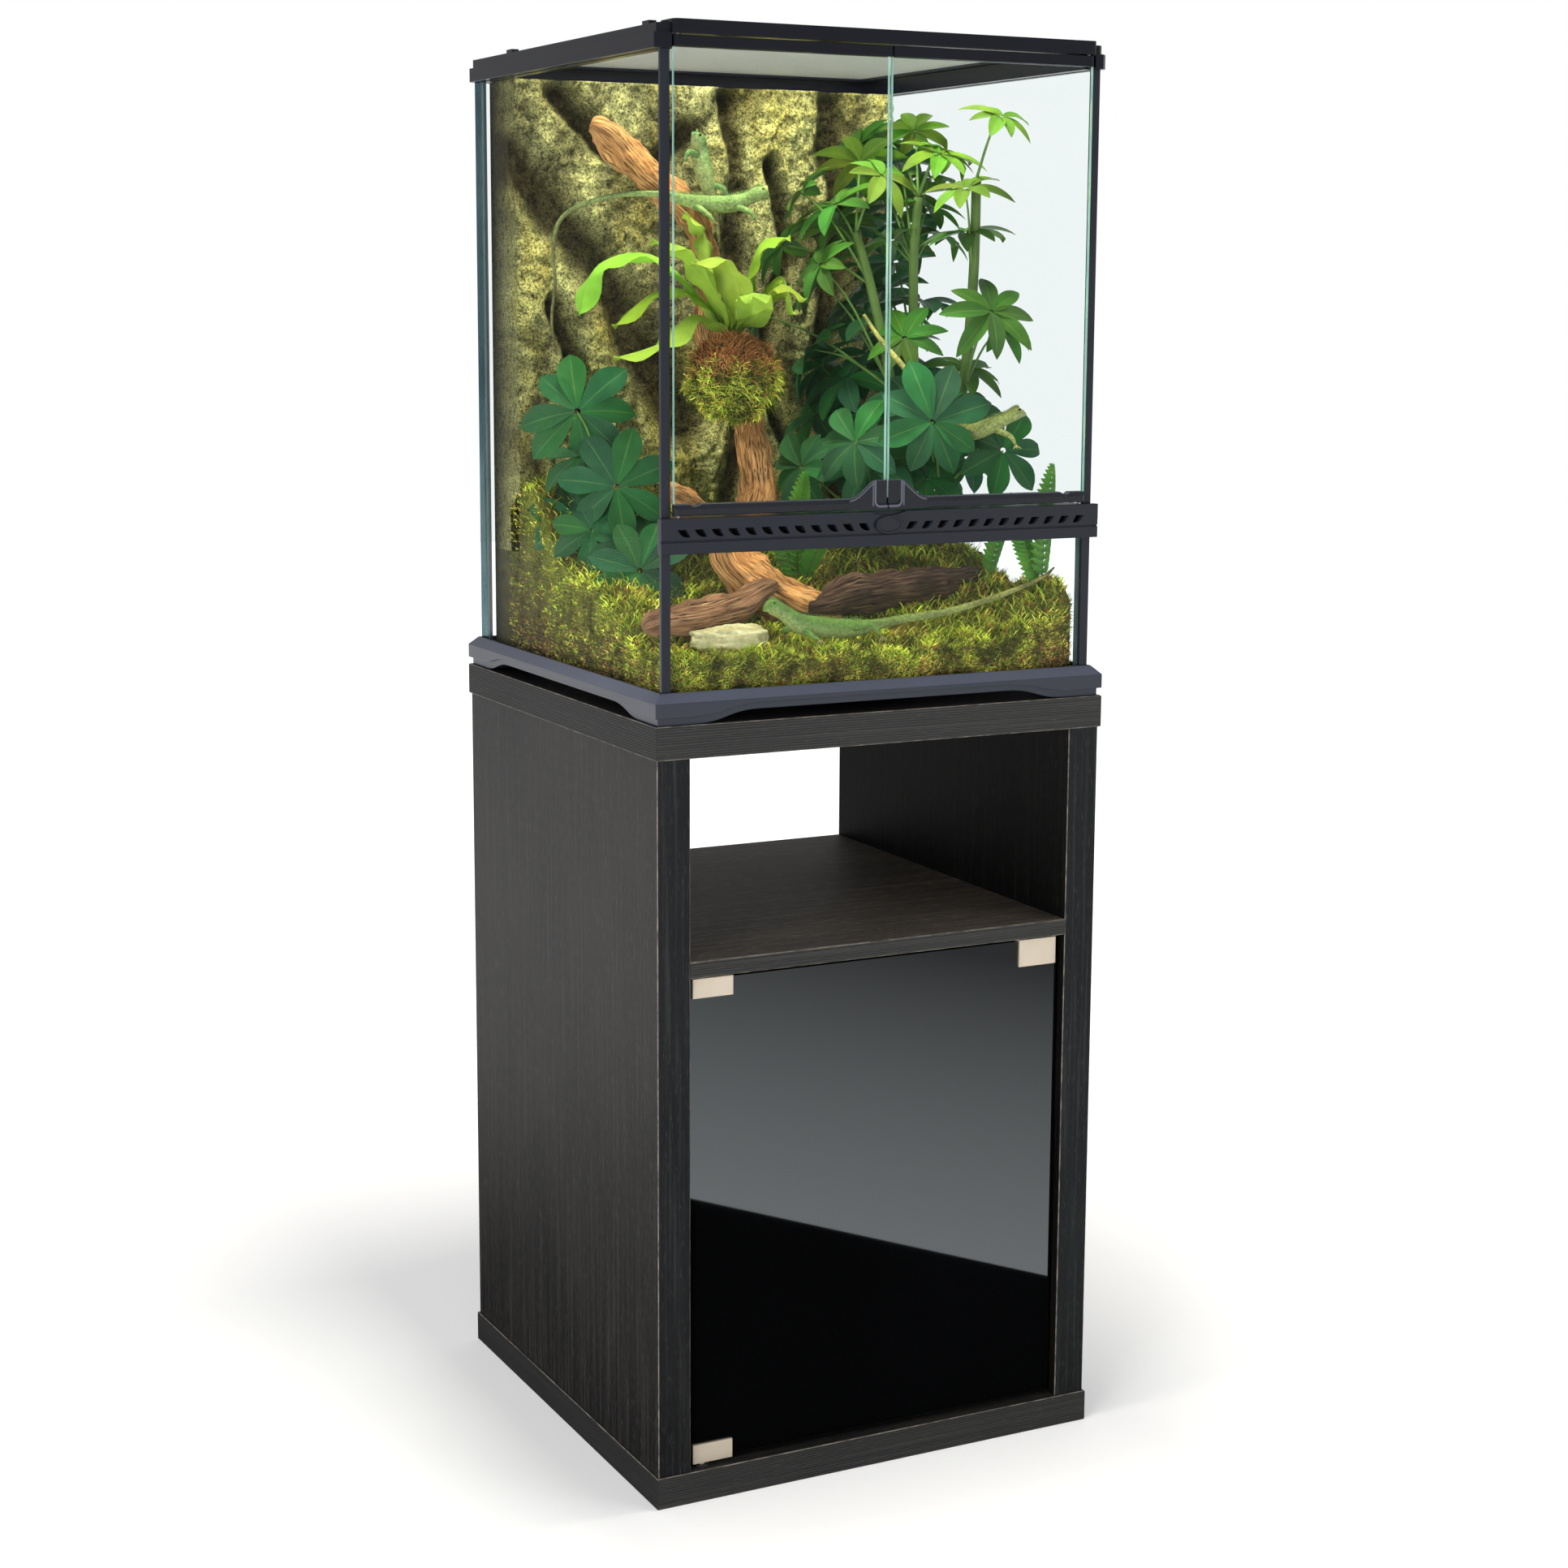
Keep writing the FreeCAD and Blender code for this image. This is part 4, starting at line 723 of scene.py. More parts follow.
def strand(shape, root, normal, length, width, tone, spin):
    """One curling strip of moss."""
    tip = Vector((spin.uniform(-1, 1), spin.uniform(-1, 1), spin.uniform(-0.5, 1)))
    lean = (normal * 0.35 + tip).normalized()
    side = lean.cross(tip).normalized() * width
    curl = tip.cross(normal + Vector((0.1, 0.2, 0.3))).normalized() * length * 0.5
    near = root + lean * length * 0.35 + curl * 0.1
    far = root + lean * length * 0.65 + curl * 0.5
    end = root + lean * length * 0.7 + curl
    points = [root - side, root + side, near + side, near - side, far + side * 0.7, far - side * 0.7, end]
    # Painted shade: each strand's root is its own tone darkened to 0.55, so the moss is darker low down than at the
    # tips.
    dark = tuple(channel * 0.55 for channel in tone)
    shape.add(points, [(0, 1, 2, 3), (3, 2, 4, 5), (5, 4, 6)], [dark, dark, tone, tone, tone, tone, tone])


def build_moss_bed():
    """The soil's closed body and the loose moss that covers it and shows through the glass."""
    left, right = SOIL_LOW.x, SOIL_HIGH.x
    front, back = SOIL_LOW.y, SOIL_HIGH.y
    columns, rows = 104, 92
    shape = Shape()
    points, tints = [], []
    for j in range(rows + 1):
        for i in range(columns + 1):
            x = left + (right - left) * i / columns
            y = front + (back - front) * j / rows
            points.append((x, y, TANK + soil_height(x, y)))
            patch = 0.5 + 0.5 * noise.fractal(Vector((x * 40, y * 40, 2)), 0.8, 2.0, 4)
            tints.append(tuple(Vector((0.07, 0.055, 0.014)).lerp(Vector((0.17, 0.2, 0.03)), patch)))
    stride = columns + 1
    faces = [(j * stride + i, j * stride + i + 1, (j + 1) * stride + i + 1, (j + 1) * stride + i)
             for j in range(rows) for i in range(columns)]
    rim = [i for i in range(stride)] + [j * stride + columns for j in range(1, rows + 1)]
    rim += [rows * stride + i for i in reversed(range(columns))] + [j * stride for j in reversed(range(1, rows))]
    first = len(points)
    points += [(points[n][0], points[n][1], FLOOR_GLASS) for n in rim]
    tints += [(0.05, 0.03, 0.012)] * len(rim)
    faces += [(rim[n], first + n, first + (n + 1) % len(rim), rim[(n + 1) % len(rim)]) for n in range(len(rim))]
    faces.append(tuple(first + n for n in reversed(range(len(rim)))))
    shape.add(points, faces, tints)
    soil = tinted("soil", 0.5, 0.9, 260, 1.0, 0.003)
    settle(shape.build("soil_bed", soil), "moss", "root", "substrate_bed")

    spin = random.Random(11)
    moss = Shape()
    for n in range(34000):
        x, y = spin.uniform(left, right), front + (back - front) * spin.random() ** 1.3
        root = Vector((x, y, TANK + soil_height(x, y) - 0.001))
        room = min(x - left, right - x, y - front) + 0.006
        length = min(spin.uniform(0.008, 0.02), room + 0.002)
        strand(moss, root, Vector((0, 0, 1)), length, 0.0006, moss_tone(root, spin, 0.12), spin)
    for n in range(34000):
        along, wall = spin.random(), spin.choice((0, 0, 1, 2))
        if wall == 0:
            x, y, out = left + (right - left) * along, front, Vector((0, -1, 0))
        else:
            x, y = (left, right)[wall - 1], front + (back - front) * along
            out = Vector(((-1, 1)[wall - 1], 0, 0))
        top = soil_height(x, y)
        share = spin.random()
        root = Vector((x, y, TANK + 0.016 + (top - 0.016) * share)) + out * 0.0004
        tone = moss_tone(root, spin, 0.55 - 0.45 * share)
        strand(moss, root, out * 0.2 + Vector((0, 0, 0.4)), spin.uniform(0.0035, 0.006), 0.0005, tone, spin)
    settle(moss.build("moss_cover", tinted("moss_strands", 0.25, 0.85, 900, 0.3, Subsurface_Weight=0.0)), "moss")


def build_moss_ball():
    """The moss wrapped round the branch under the fern: brown on top, green below."""
    low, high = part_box("moss_ball")
    centre, reach = (low + high) / 2, (high - low) / 2
    shape = Shape()
    rings, sides = 40, 60
    points, tints = [], []
    spin = random.Random(5)
    for j in range(rings + 1):
        tilt = math.pi * j / rings
        for i in range(sides):
            turn = 2 * math.pi * i / sides
            way = Vector((math.sin(tilt) * math.cos(turn), math.sin(tilt) * math.sin(turn), math.cos(tilt)))
            lump = 0.82 + 0.13 * noise.fractal(way * 2.4, 0.8, 2.0, 4)
            points.append(centre + Vector((way.x * reach.x, way.y * reach.y, way.z * reach.z)) * lump)
            tints.append((0.05, 0.045, 0.012))
    faces = [(j * sides + i, (j + 1) * sides + i, (j + 1) * sides + (i + 1) % sides, j * sides + (i + 1) % sides)
             for j in range(rings) for i in range(sides)]
    shape.add(points, faces, tints)
    for n in range(11000):
        way = Vector((spin.gauss(0, 1), spin.gauss(0, 1), spin.gauss(0, 1))).normalized()
        lump = 0.82 + 0.13 * noise.fractal(way * 2.4, 0.8, 2.0, 4)
        root = centre + Vector((way.x * reach.x, way.y * reach.y, way.z * reach.z)) * lump
        rust = way.z > 0.25 + 0.3 * spin.uniform(-1, 1)
        tone = (0.36, 0.15, 0.045) if rust else moss_tone(root, spin, 0.12)
        level = 0.6 + 0.7 * spin.random()
        strand(shape, root, way, spin.uniform(0.006, 0.014), 0.0005, tuple(c * level for c in tone), spin)
    settle(shape.build("moss_ball_strands", tinted("moss_ball_strands", 0.25, 0.85, 900, 0.3)), "moss", "root",
           "moss_ball")


# ---------------------------------------------------------------- wood and stone

MAIN_BRANCH = ((-162, 64, 528, 6), (-150, 62, 523, 13), (-128, 66, 504, 15), (-108, 68, 486, 14),
               (-76, 66, 462, 15), (-54, 60, 440, 14), (-46, 50, 410, 12), (-50, 42, 380, 12),
               (-54, 36, 350, 12), (-50, 30, 322, 13), (-36, 12, 286, 13), (-28, 0, 254, 15),
               (-34, -20, 216, 15), (-38, -40, 178, 17), (-68, -66, 148, 19), (-84, -86, 124, 20),
               (-66, -100, 104, 21), (-36, -114, 86, 19), (-6, -124, 72, 14), (4, -128, 66, 6))
SIDE_BRANCH = ((-182, -150, 199, 5), (-172, -142, 195, 9), (-140, -118, 182, 10), (-112, -96, 160, 12),
               (-92, -86, 140, 10))
LIGHT_LOG = ((-204, -146, 76, 5), (-190, -148, 80, 13), (-150, -150, 84, 16), (-110, -146, 92, 15),
             (-84, -140, 102, 11), (-66, -134, 108, 5))
DARK_LOG = ((-44, -126, 80, 8), (-20, -126, 84, 14), (30, -120, 92, 18), (80, -112, 94, 16), (120, -106, 97, 17),
            (158, -98, 100, 13), (178, -92, 104, 6))


def driftwood(name, route, material, seed, node, sides=44, rough=0.3):
    """A weathered branch: twisted grooves, swellings and a torn end."""
    def surface(angle, along):
        turn = angle + along * 9
        at = Vector((math.cos(turn) * 1.3, math.sin(turn) * 1.3, along * 16 + seed))
        groove = noise.ridged_multi_fractal(at, 0.9, 2.1, 3, 1.0, 2.0)
        swell = noise.fractal(Vector((math.cos(angle) * 0.6, math.sin(angle) * 0.6, along * 30 + seed)), 0.9, 2, 3)
        return 1.0 + rough * swell + rough * 0.35 * (groove - 0.9)
    shape = Shape()
    sweep(shape, route, sides, surface, steps=14)
    settle(shape.build(name, material), "driftwood", "root", node)


def build_wood():
    """The climbing branch, its side shoot and the two ground logs."""
    warm = driftwood_material("warm_driftwood", (0.86, 0.5, 0.19), (0.6, 0.27, 0.08), (0.16, 0.06, 0.02))
    pale = driftwood_material("pale_driftwood", (0.58, 0.34, 0.17), (0.38, 0.19, 0.09), (0.11, 0.05, 0.022))
    dark = driftwood_material("dark_driftwood", (0.22, 0.13, 0.075), (0.075, 0.042, 0.026), (0.016, 0.01, 0.007))
    driftwood("climbing_branch", MAIN_BRANCH, warm, 1.0, "main_branch", rough=0.42)
    driftwood("side_shoot", SIDE_BRANCH, warm, 4.0, "side_branch")
    driftwood("pale_ground_log", LIGHT_LOG, pale, 7.0, "light_log")
    driftwood("dark_ground_log", DARK_LOG, dark, 9.0, "dark_log", rough=0.4)


def build_stone():
    """A flat layered stone at the front."""
    low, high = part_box("flat_stone")
    centre, reach = (low + high) / 2, (high - low) / 2
    shape = Shape()
    rings, sides = 36, 72
    points, tints = [], []
    for j in range(rings + 1):
        tilt = math.pi * j / rings
        for i in range(sides):
            turn = 2 * math.pi * i / sides
            way = Vector((math.sin(tilt) * math.cos(turn), math.sin(tilt) * math.sin(turn), math.cos(tilt)))
            edge = 0.86 + 0.14 * noise.fractal(way * 1.7 + Vector((3, 0, 0)), 0.8, 2.0, 4)
            flat = Vector((way.x, way.y, math.copysign(abs(way.z) ** 0.6, way.z)))
            terrace = math.floor(flat.z * 3 + noise.noise(way * 3)) / 3 * 0.25 + flat.z * 0.75
            points.append(centre + Vector((flat.x * reach.x, flat.y * reach.y, terrace * reach.z)) * edge)
            band = 0.5 + 0.5 * math.sin(flat.z * 14 + noise.noise(way * 4) * 3)
            tints.append(tuple(Vector((0.42, 0.36, 0.17)).lerp(Vector((0.62, 0.6, 0.34)), band)))
    faces = [(j * sides + i, (j + 1) * sides + i, (j + 1) * sides + (i + 1) % sides, j * sides + (i + 1) % sides)
             for j in range(rings) for i in range(sides)]
    shape.add(points, faces, tints)
    settle(shape.build("layered_stone", tinted("sandstone", 0.25, 0.75, 200, 0.6, 0.0015)), "sandstone", "root",
           "flat_stone")


# ---------------------------------------------------------------- plants

def inside_glass(point):
    """A point kept clear of the panes and of the rock wall's face."""
    side, front, back = GLASS_INSIDE - 0.003, SOIL_LOW.y + 0.002, ROCK_LOW.y - 0.02
    return Vector((min(side, max(-side, point.x)), min(back, max(front, point.y)), point.z))


def blade(shape, root, way, up, length, width, droop, tint, cup=0.18, steps=9, wave=0.0, peak=0.45):
    """One leaf: pointed at both ends, folded along its midrib and curving down towards the tip."""
    side = way.cross(up).normalized()
    points, sheet = [], []
    for n in range(steps + 1):
        t = n / steps
        bend = droop * t * t
        spine = root + way * length * (t - 0.18 * abs(droop) * t * t) - up * length * bend
        wide = math.sin(math.pi * t ** (math.log(0.5) / math.log(peak))) ** 0.75 * width / 2 + 0.0004 + 0.0014 * (1 - t)
        ripple = wave * math.sin(t * 19) * width
        for share in (-1, -0.5, 0, 0.5, 1):
            lift = abs(share) * wide * cup * 2 + ripple * abs(share)
            points.append(inside_glass(spine + side * wide * share + up * lift))
            sheet.append((0.5 + share / 2, t))
    faces = [(5 * n + k, 5 * n + k + 1, 5 * n + 6 + k, 5 * n + 5 + k) for n in range(steps) for k in range(4)]
    shape.add(points, faces, tint, sheet)


def rosette(shape, at, facing, radius, count, droop, tint, spin):
    """Leaflets that spread from one point like the ribs of an umbrella."""
    up = facing.normalized()
    side = up.orthogonal().normalized()
    start = spin.uniform(0, math.tau)
    for n in range(count):
        angle = start + math.tau * n / count + spin.uniform(-0.12, 0.12)
        way = (Matrix.Rotation(angle, 3, up) @ side + up * spin.uniform(-0.05, 0.2)).normalized()
        length = radius * spin.uniform(0.78, 1.08)
        tone = tuple(channel * spin.uniform(0.75, 1.25) for channel in tint)
        wide, peak = (0.43, 0.6) if tint == DEEP_GREEN else (0.31, 0.5)
        blade(shape, at + way * radius * 0.05, way, up, length, length * wide, droop * spin.uniform(0.6, 1.3),
              tone, peak=peak)


DEEP_GREEN, MID_GREEN, FRESH_GREEN = (0.024, 0.112, 0.036), (0.05, 0.14, 0.02), (0.11, 0.22, 0.02)

LEFT_ROSETTES = ((-164, 98, 258, 64, DEEP_GREEN, 0.85), (-158, 18, 190, 66, DEEP_GREEN, 0.9),
                 (-172, 70, 156, 58, DEEP_GREEN, 0.7), (-160, -40, 116, 56, DEEP_GREEN, 0.6),
                 (-176, 66, 216, 46, DEEP_GREEN, 0.4), (-182, 20, 150, 44, DEEP_GREEN, 0.7),
                 (-150, 0, 140, 50, DEEP_GREEN, 0.5))
RIGHT_ROSETTES = (
    (124, 60, 500, 52, FRESH_GREEN, 0.05), (168, -20, 506, 48, FRESH_GREEN, 0.1), (86, 40, 458, 56, MID_GREEN, 0.4),
    (163, -80, 430, 52, MID_GREEN, 0.15), (159, -136, 356, 50, MID_GREEN, 0.3), (97, -136, 254, 60, DEEP_GREEN, 0.95),
    (85, 70, 384, 56, MID_GREEN, 0.3), (71, 56, 318, 52, DEEP_GREEN, 0.3), (176, -120, 536, 40, FRESH_GREEN, 0.1),
    (150, 40, 424, 48, MID_GREEN, 0.2), (172, -140, 226, 50, DEEP_GREEN, 0.6), (120, -40, 330, 50, MID_GREEN, 0.3),
    (56, -60, 232, 50, DEEP_GREEN, 0.3), (150, -100, 470, 46, FRESH_GREEN, 0.1), (130, 20, 350, 50, DEEP_GREEN, 0.4),
    (176, -60, 300, 46, MID_GREEN, 0.3), (110, 80, 440, 48, MID_GREEN, 0.2), (140, 80, 290, 54, DEEP_GREEN, 0.5),
    (96, 96, 250, 52, DEEP_GREEN, 0.5), (60, 100, 420, 44, MID_GREEN, 0.2), (104, -20, 484, 44, FRESH_GREEN, 0.1),
    (136, -60, 196, 46, DEEP_GREEN, 0.5), (40, 110, 352, 46, DEEP_GREEN, 0.3), (140, 90, 520, 44, MID_GREEN, 0.2),
    (120, -70, 262, 54, DEEP_GREEN, 0.7), (110, -30, 230, 56, DEEP_GREEN, 0.6), (80, -40, 210, 50, DEEP_GREEN, 0.5),
    (160, -90, 250, 50, DEEP_GREEN, 0.6), (180, -60, 214, 46, DEEP_GREEN, 0.5), (40, 20, 204, 46, DEEP_GREEN, 0.5),
    (100, 40, 290, 56, DEEP_GREEN, 0.5), (130, 60, 200, 52, DEEP_GREEN, 0.5), (186, -110, 340, 40, MID_GREEN, 0.3),
    (140, 20, 250, 54, DEEP_GREEN, 0.6), (60, 20, 400, 44, MID_GREEN, 0.4), (60, 60, 470, 40, MID_GREEN, 0.2),
    (184, 60, 470, 48, MID_GREEN, 0.2), (190, 20, 430, 46, MID_GREEN, 0.3), (186, 96, 404, 48, DEEP_GREEN, 0.3),
    (184, 44, 364, 50, DEEP_GREEN, 0.4), (190, 104, 330, 48, DEEP_GREEN, 0.4), (186, 60, 292, 50, DEEP_GREEN, 0.5),
    (190, 0, 256, 46, DEEP_GREEN, 0.5), (188, 108, 244, 50, DEEP_GREEN, 0.4), (182, 112, 484, 46, MID_GREEN, 0.2),
    (186, 6, 508, 42, FRESH_GREEN, 0.1), (188, 80, 206, 50, DEEP_GREEN, 0.4), (184, 26, 196, 48, DEEP_GREEN, 0.4),
    (150, 112, 440, 48, DEEP_GREEN, 0.3), (150, 110, 360, 50, DEEP_GREEN, 0.3), (110, 110, 300, 50, DEEP_GREEN, 0.3),
    (176, 96, 524, 42, MID_GREEN, 0.2), (180, 50, 532, 40, FRESH_GREEN, 0.2), (168, 118, 496, 46, DEEP_GREEN, 0.3),
    (188, 36, 486, 44, MID_GREEN, 0.3), (168, 60, 500, 46, DEEP_GREEN, 0.3), (188, 72, 442, 48, DEEP_GREEN, 0.3),
    (178, 20, 456, 46, MID_GREEN, 0.2), (170, 90, 376, 50, DEEP_GREEN, 0.3), (178, 70, 326, 50, DEEP_GREEN, 0.4),
    (176, 30, 300, 48, DEEP_GREEN, 0.5))


def umbrella_plant(name, stems, rosettes, node, seed, thickness):
    """Upright stems with long stalks, each ending in a rosette of leaflets."""
    spin = random.Random(seed)
    shape = Shape()
    bark = (0.12, 0.2, 0.05)
    for stem in stems:
        sweep(shape, [row + (thickness - 0.35 * n,) for n, row in enumerate(stem)], 8, tint=bark, steps=5)
    for x, y, z, radius, tint, turned in rosettes:
        stem = min(stems, key=lambda rows: abs(rows[-1][0] - x) + abs(rows[-1][1] - y))
        foot = min((row for row in stem if row[2] < z - 20), key=lambda row: abs(row[2] - (z - 70)), default=stem[0])
        middle = ((foot[0] * 0.45 + x * 0.55), (foot[1] * 0.45 + y * 0.55), foot[2] * 0.4 + z * 0.6 + 6)
        sweep(shape, [tuple(foot) + (1.5,), middle + (1.2,), (x, y, z - 1, 0.9)], 6, tint=(0.14, 0.26, 0.06), steps=5)
        lean = Vector((x - foot[0], y - foot[1], 60 + spin.uniform(-15, 15))).normalized()
        facing = lean.lerp(Vector((-0.42, -0.88, 0.22)), turned)
        rosette(shape, mm(x, y, z), facing, radius / 1000, spin.choice((7, 8, 8)), 0.3, tint, spin)
    settle(shape.build(name, leaf_material(name + "_leaf")), "leaf", "root", node)


NEST_LEAVES = (
    ((-46, 0, 334), (-110, 24, 404), (-168, 34, 398), (-190, 30, 350), 26),
    ((-46, 0, 334), (-90, -10, 352), (-130, -22, 326), (-178, -24, 312), 24),
    ((-46, 0, 334), (-84, 10, 372), (-120, 16, 372), (-160, 20, 340), 26),
    ((-46, 0, 334), (-70, -6, 380), (-96, -8, 412), (-134, -10, 420), 28),
    ((-46, 0, 334), (-48, -18, 372), (-70, -30, 404), (-104, -34, 398), 26),
    ((-46, 0, 334), (-36, -10, 384), (-22, -16, 420), (6, -20, 424), 26),
    ((-46, 0, 334), (-24, -8, 366), (0, -14, 388), (10, -20, 352), 28),
    ((-46, 0, 334), (-30, -22, 356), (-14, -40, 380), (4, -56, 366), 24),
    ((-46, 0, 334), (-60, 14, 396), (-66, 20, 430), (-86, 20, 446), 22),
    ((-46, 0, 334), (-40, -30, 350), (-52, -60, 372), (-66, -84, 366), 24))


def build_nest_fern():
    """Broad wavy strap leaves that arch out of the moss ball."""
    shape = Shape()
    spin = random.Random(21)
    for leaf in NEST_LEAVES:
        rows = smooth_route([row for row in leaf[:4]], 8)
        spine = [mm(*row) for row in rows]
        frames = frames_along(spine)
        tone = tuple(channel * spin.uniform(0.8, 1.25) for channel in (0.24, 0.42, 0.035))
        points, sheet = [], []
        for n, (point, (ahead, side, up)) in enumerate(zip(spine, frames)):
            t = n / (len(spine) - 1)
            level = Vector((-ahead.y, ahead.x, 0))
            side = (level.normalized() if level.length > 0.2 else side)
            up = side.cross(ahead)
            wide = leaf[4] / 1350 * min(1.0, 0.25 + 1.7 * t) * (1 - t ** 5) ** 0.6 + 0.0004
            for share in (-1, -0.6, -0.2, 0, 0.2, 0.6, 1):
                ripple = math.sin(t * 22 + share * 1.5) * 0.0032 * abs(share)
                points.append(inside_glass(point + side * wide * share + up * (abs(share) * wide * 0.35 + ripple)))
                sheet.append((0.5 + share / 2, t))
        count = len(spine)
        faces = [(7 * n + k, 7 * n + k + 1, 7 * n + 8 + k, 7 * n + 7 + k) for n in range(count - 1) for k in range(6)]
        shape.add(points, faces, tone, sheet)
    settle(shape.build("nest_fern_leaves", leaf_material("nest_fern_leaf", 0.3)), "leaf", "root", "nest_fern")


FRONDS = (((6, -40, 90), (4, -44, 150), (8, -50, 205), 22), ((6, -40, 90), (-14, -50, 140), (-34, -60, 176), 18),
          ((8, -40, 90), (26, -50, 140), (40, -60, 170), 18), ((190, -184, 95), (190, -188, 160), (196, -190, 216), 20),
          ((188, -184, 95), (170, -186, 140), (158, -188, 172), 16), ((150, -150, 100), (160, -156, 150), (172, -160, 186), 18))


def build_ferns():
    """Small upright fronds, each a midrib with tapering leaflets on both sides."""
    shape = Shape()
    spin = random.Random(31)
    for foot, middle, tip, reach in FRONDS:
        rows = smooth_route((foot, middle, tip), 11)
        spine = [mm(*row) for row in rows]
        sweep(shape, [tuple(foot) + (1.0,), tuple(middle) + (0.8,), tuple(tip) + (0.4,)], 5, tint=(0.1, 0.22, 0.04))
        for n in range(4, len(spine) - 1):
            t = (n - 4) / (len(spine) - 5)
            ahead = (spine[n + 1] - spine[n - 1]).normalized()
            side = ahead.cross(Vector((0.45, -0.9, 0))).normalized()
            up = side.cross(ahead)
            length = reach / 1000 * math.sin(math.pi * min(1.0, 0.25 + 0.75 * t)) + 0.003
            tone = tuple(channel * spin.uniform(0.8, 1.2) for channel in (0.12, 0.36, 0.04))
            for way in (-1, 1):
                blade(shape, spine[n], (side * way + ahead * 0.45).normalized(), up, length, length * 0.3, 0.15,
                      tone, steps=4)
    settle(shape.build("fern_fronds", leaf_material("fern_leaf", 0.45)), "leaf", "root", "ferns")


# ---------------------------------------------------------------- lizards

HEAD_SWELL, BODY_SWELL = 1.42, 1.14


def lizard_tint(base, band):
    """Green sides, a paler belly and brown bands that grow stronger along the tail."""
    def tint(angle, along):
        stripe = 0.5 + 0.5 * math.sin(along * 60)
        belly = max(0.0, -math.sin(angle)) * 0.6
        tail = max(0.0, along - 0.42) * 1.7
        colour = Vector(base).lerp(Vector((0.36, 0.4, 0.15)), belly * (1 - min(1, tail)))
        colour = colour.lerp(Vector(band), min(1.0, tail))
        return tuple(colour.lerp(Vector((0.05, 0.05, 0.02)), stripe * (0.12 + 0.55 * min(1.0, tail))))
    return tint


def build_lizard(name, route, legs, node, base=(0.16, 0.36, 0.07), band=(0.3, 0.26, 0.08)):
    """A small lizard: head, trunk and banded tail in one skin, with legs, toes, eyes and a crest."""
    shape = Shape()
    route = [row[:3] + (row[3] * (HEAD_SWELL if n in (1, 2) else BODY_SWELL),) for n, row in enumerate(route)]
    sweep(shape, route, 18, tint=lizard_tint(base, band), steps=8, flatten=0.85)
    for hip, knee, foot in legs:
        sweep(shape, (hip + (3.6,), knee + (2.5,), foot + (1.3,)), 7, tint=base, steps=3)
        for toe in (-1, 0, 1):
            end = (foot[0] + 4 * toe, foot[1] - 4, foot[2] - 3)
            sweep(shape, (foot + (1.0,), end + (0.5,)), 5, tint=band, steps=2)
    head = route[1]
    for side in (-1, 1):
        centre = mm(head[0], head[1] + side * head[3] * 0.75, head[2] + head[3] * 0.45)
        ring = [centre + Vector((math.cos(a), 0, math.sin(a))) * 0.0017 for a in
                (math.tau * k / 10 for k in range(10))]
        front = centre + Vector((0, side * 0.0012, 0))
        shape.add(ring + [front], [(k, (k + 1) % 10, 10) for k in range(10)], (0.02, 0.012, 0.005))
    rows = smooth_route(route, 10)
    for row in rows[8:int(len(rows) * 0.45)]:
        top = mm(row[0], row[1], row[2] + row[3] * 0.8)
        shape.add([top + Vector((-0.0011, 0, 0)), top + Vector((0.0011, 0, 0)), top + Vector((0, 0, 0.0035))],
                  [(0, 1, 2)], (0.2, 0.3, 0.08))
    skin = tinted(name + "_skin", 0.75, 0.5, 380, 0.9, 0.001)
    settle(shape.build(name + "_figure", skin), "lizard_skin", "root", node)


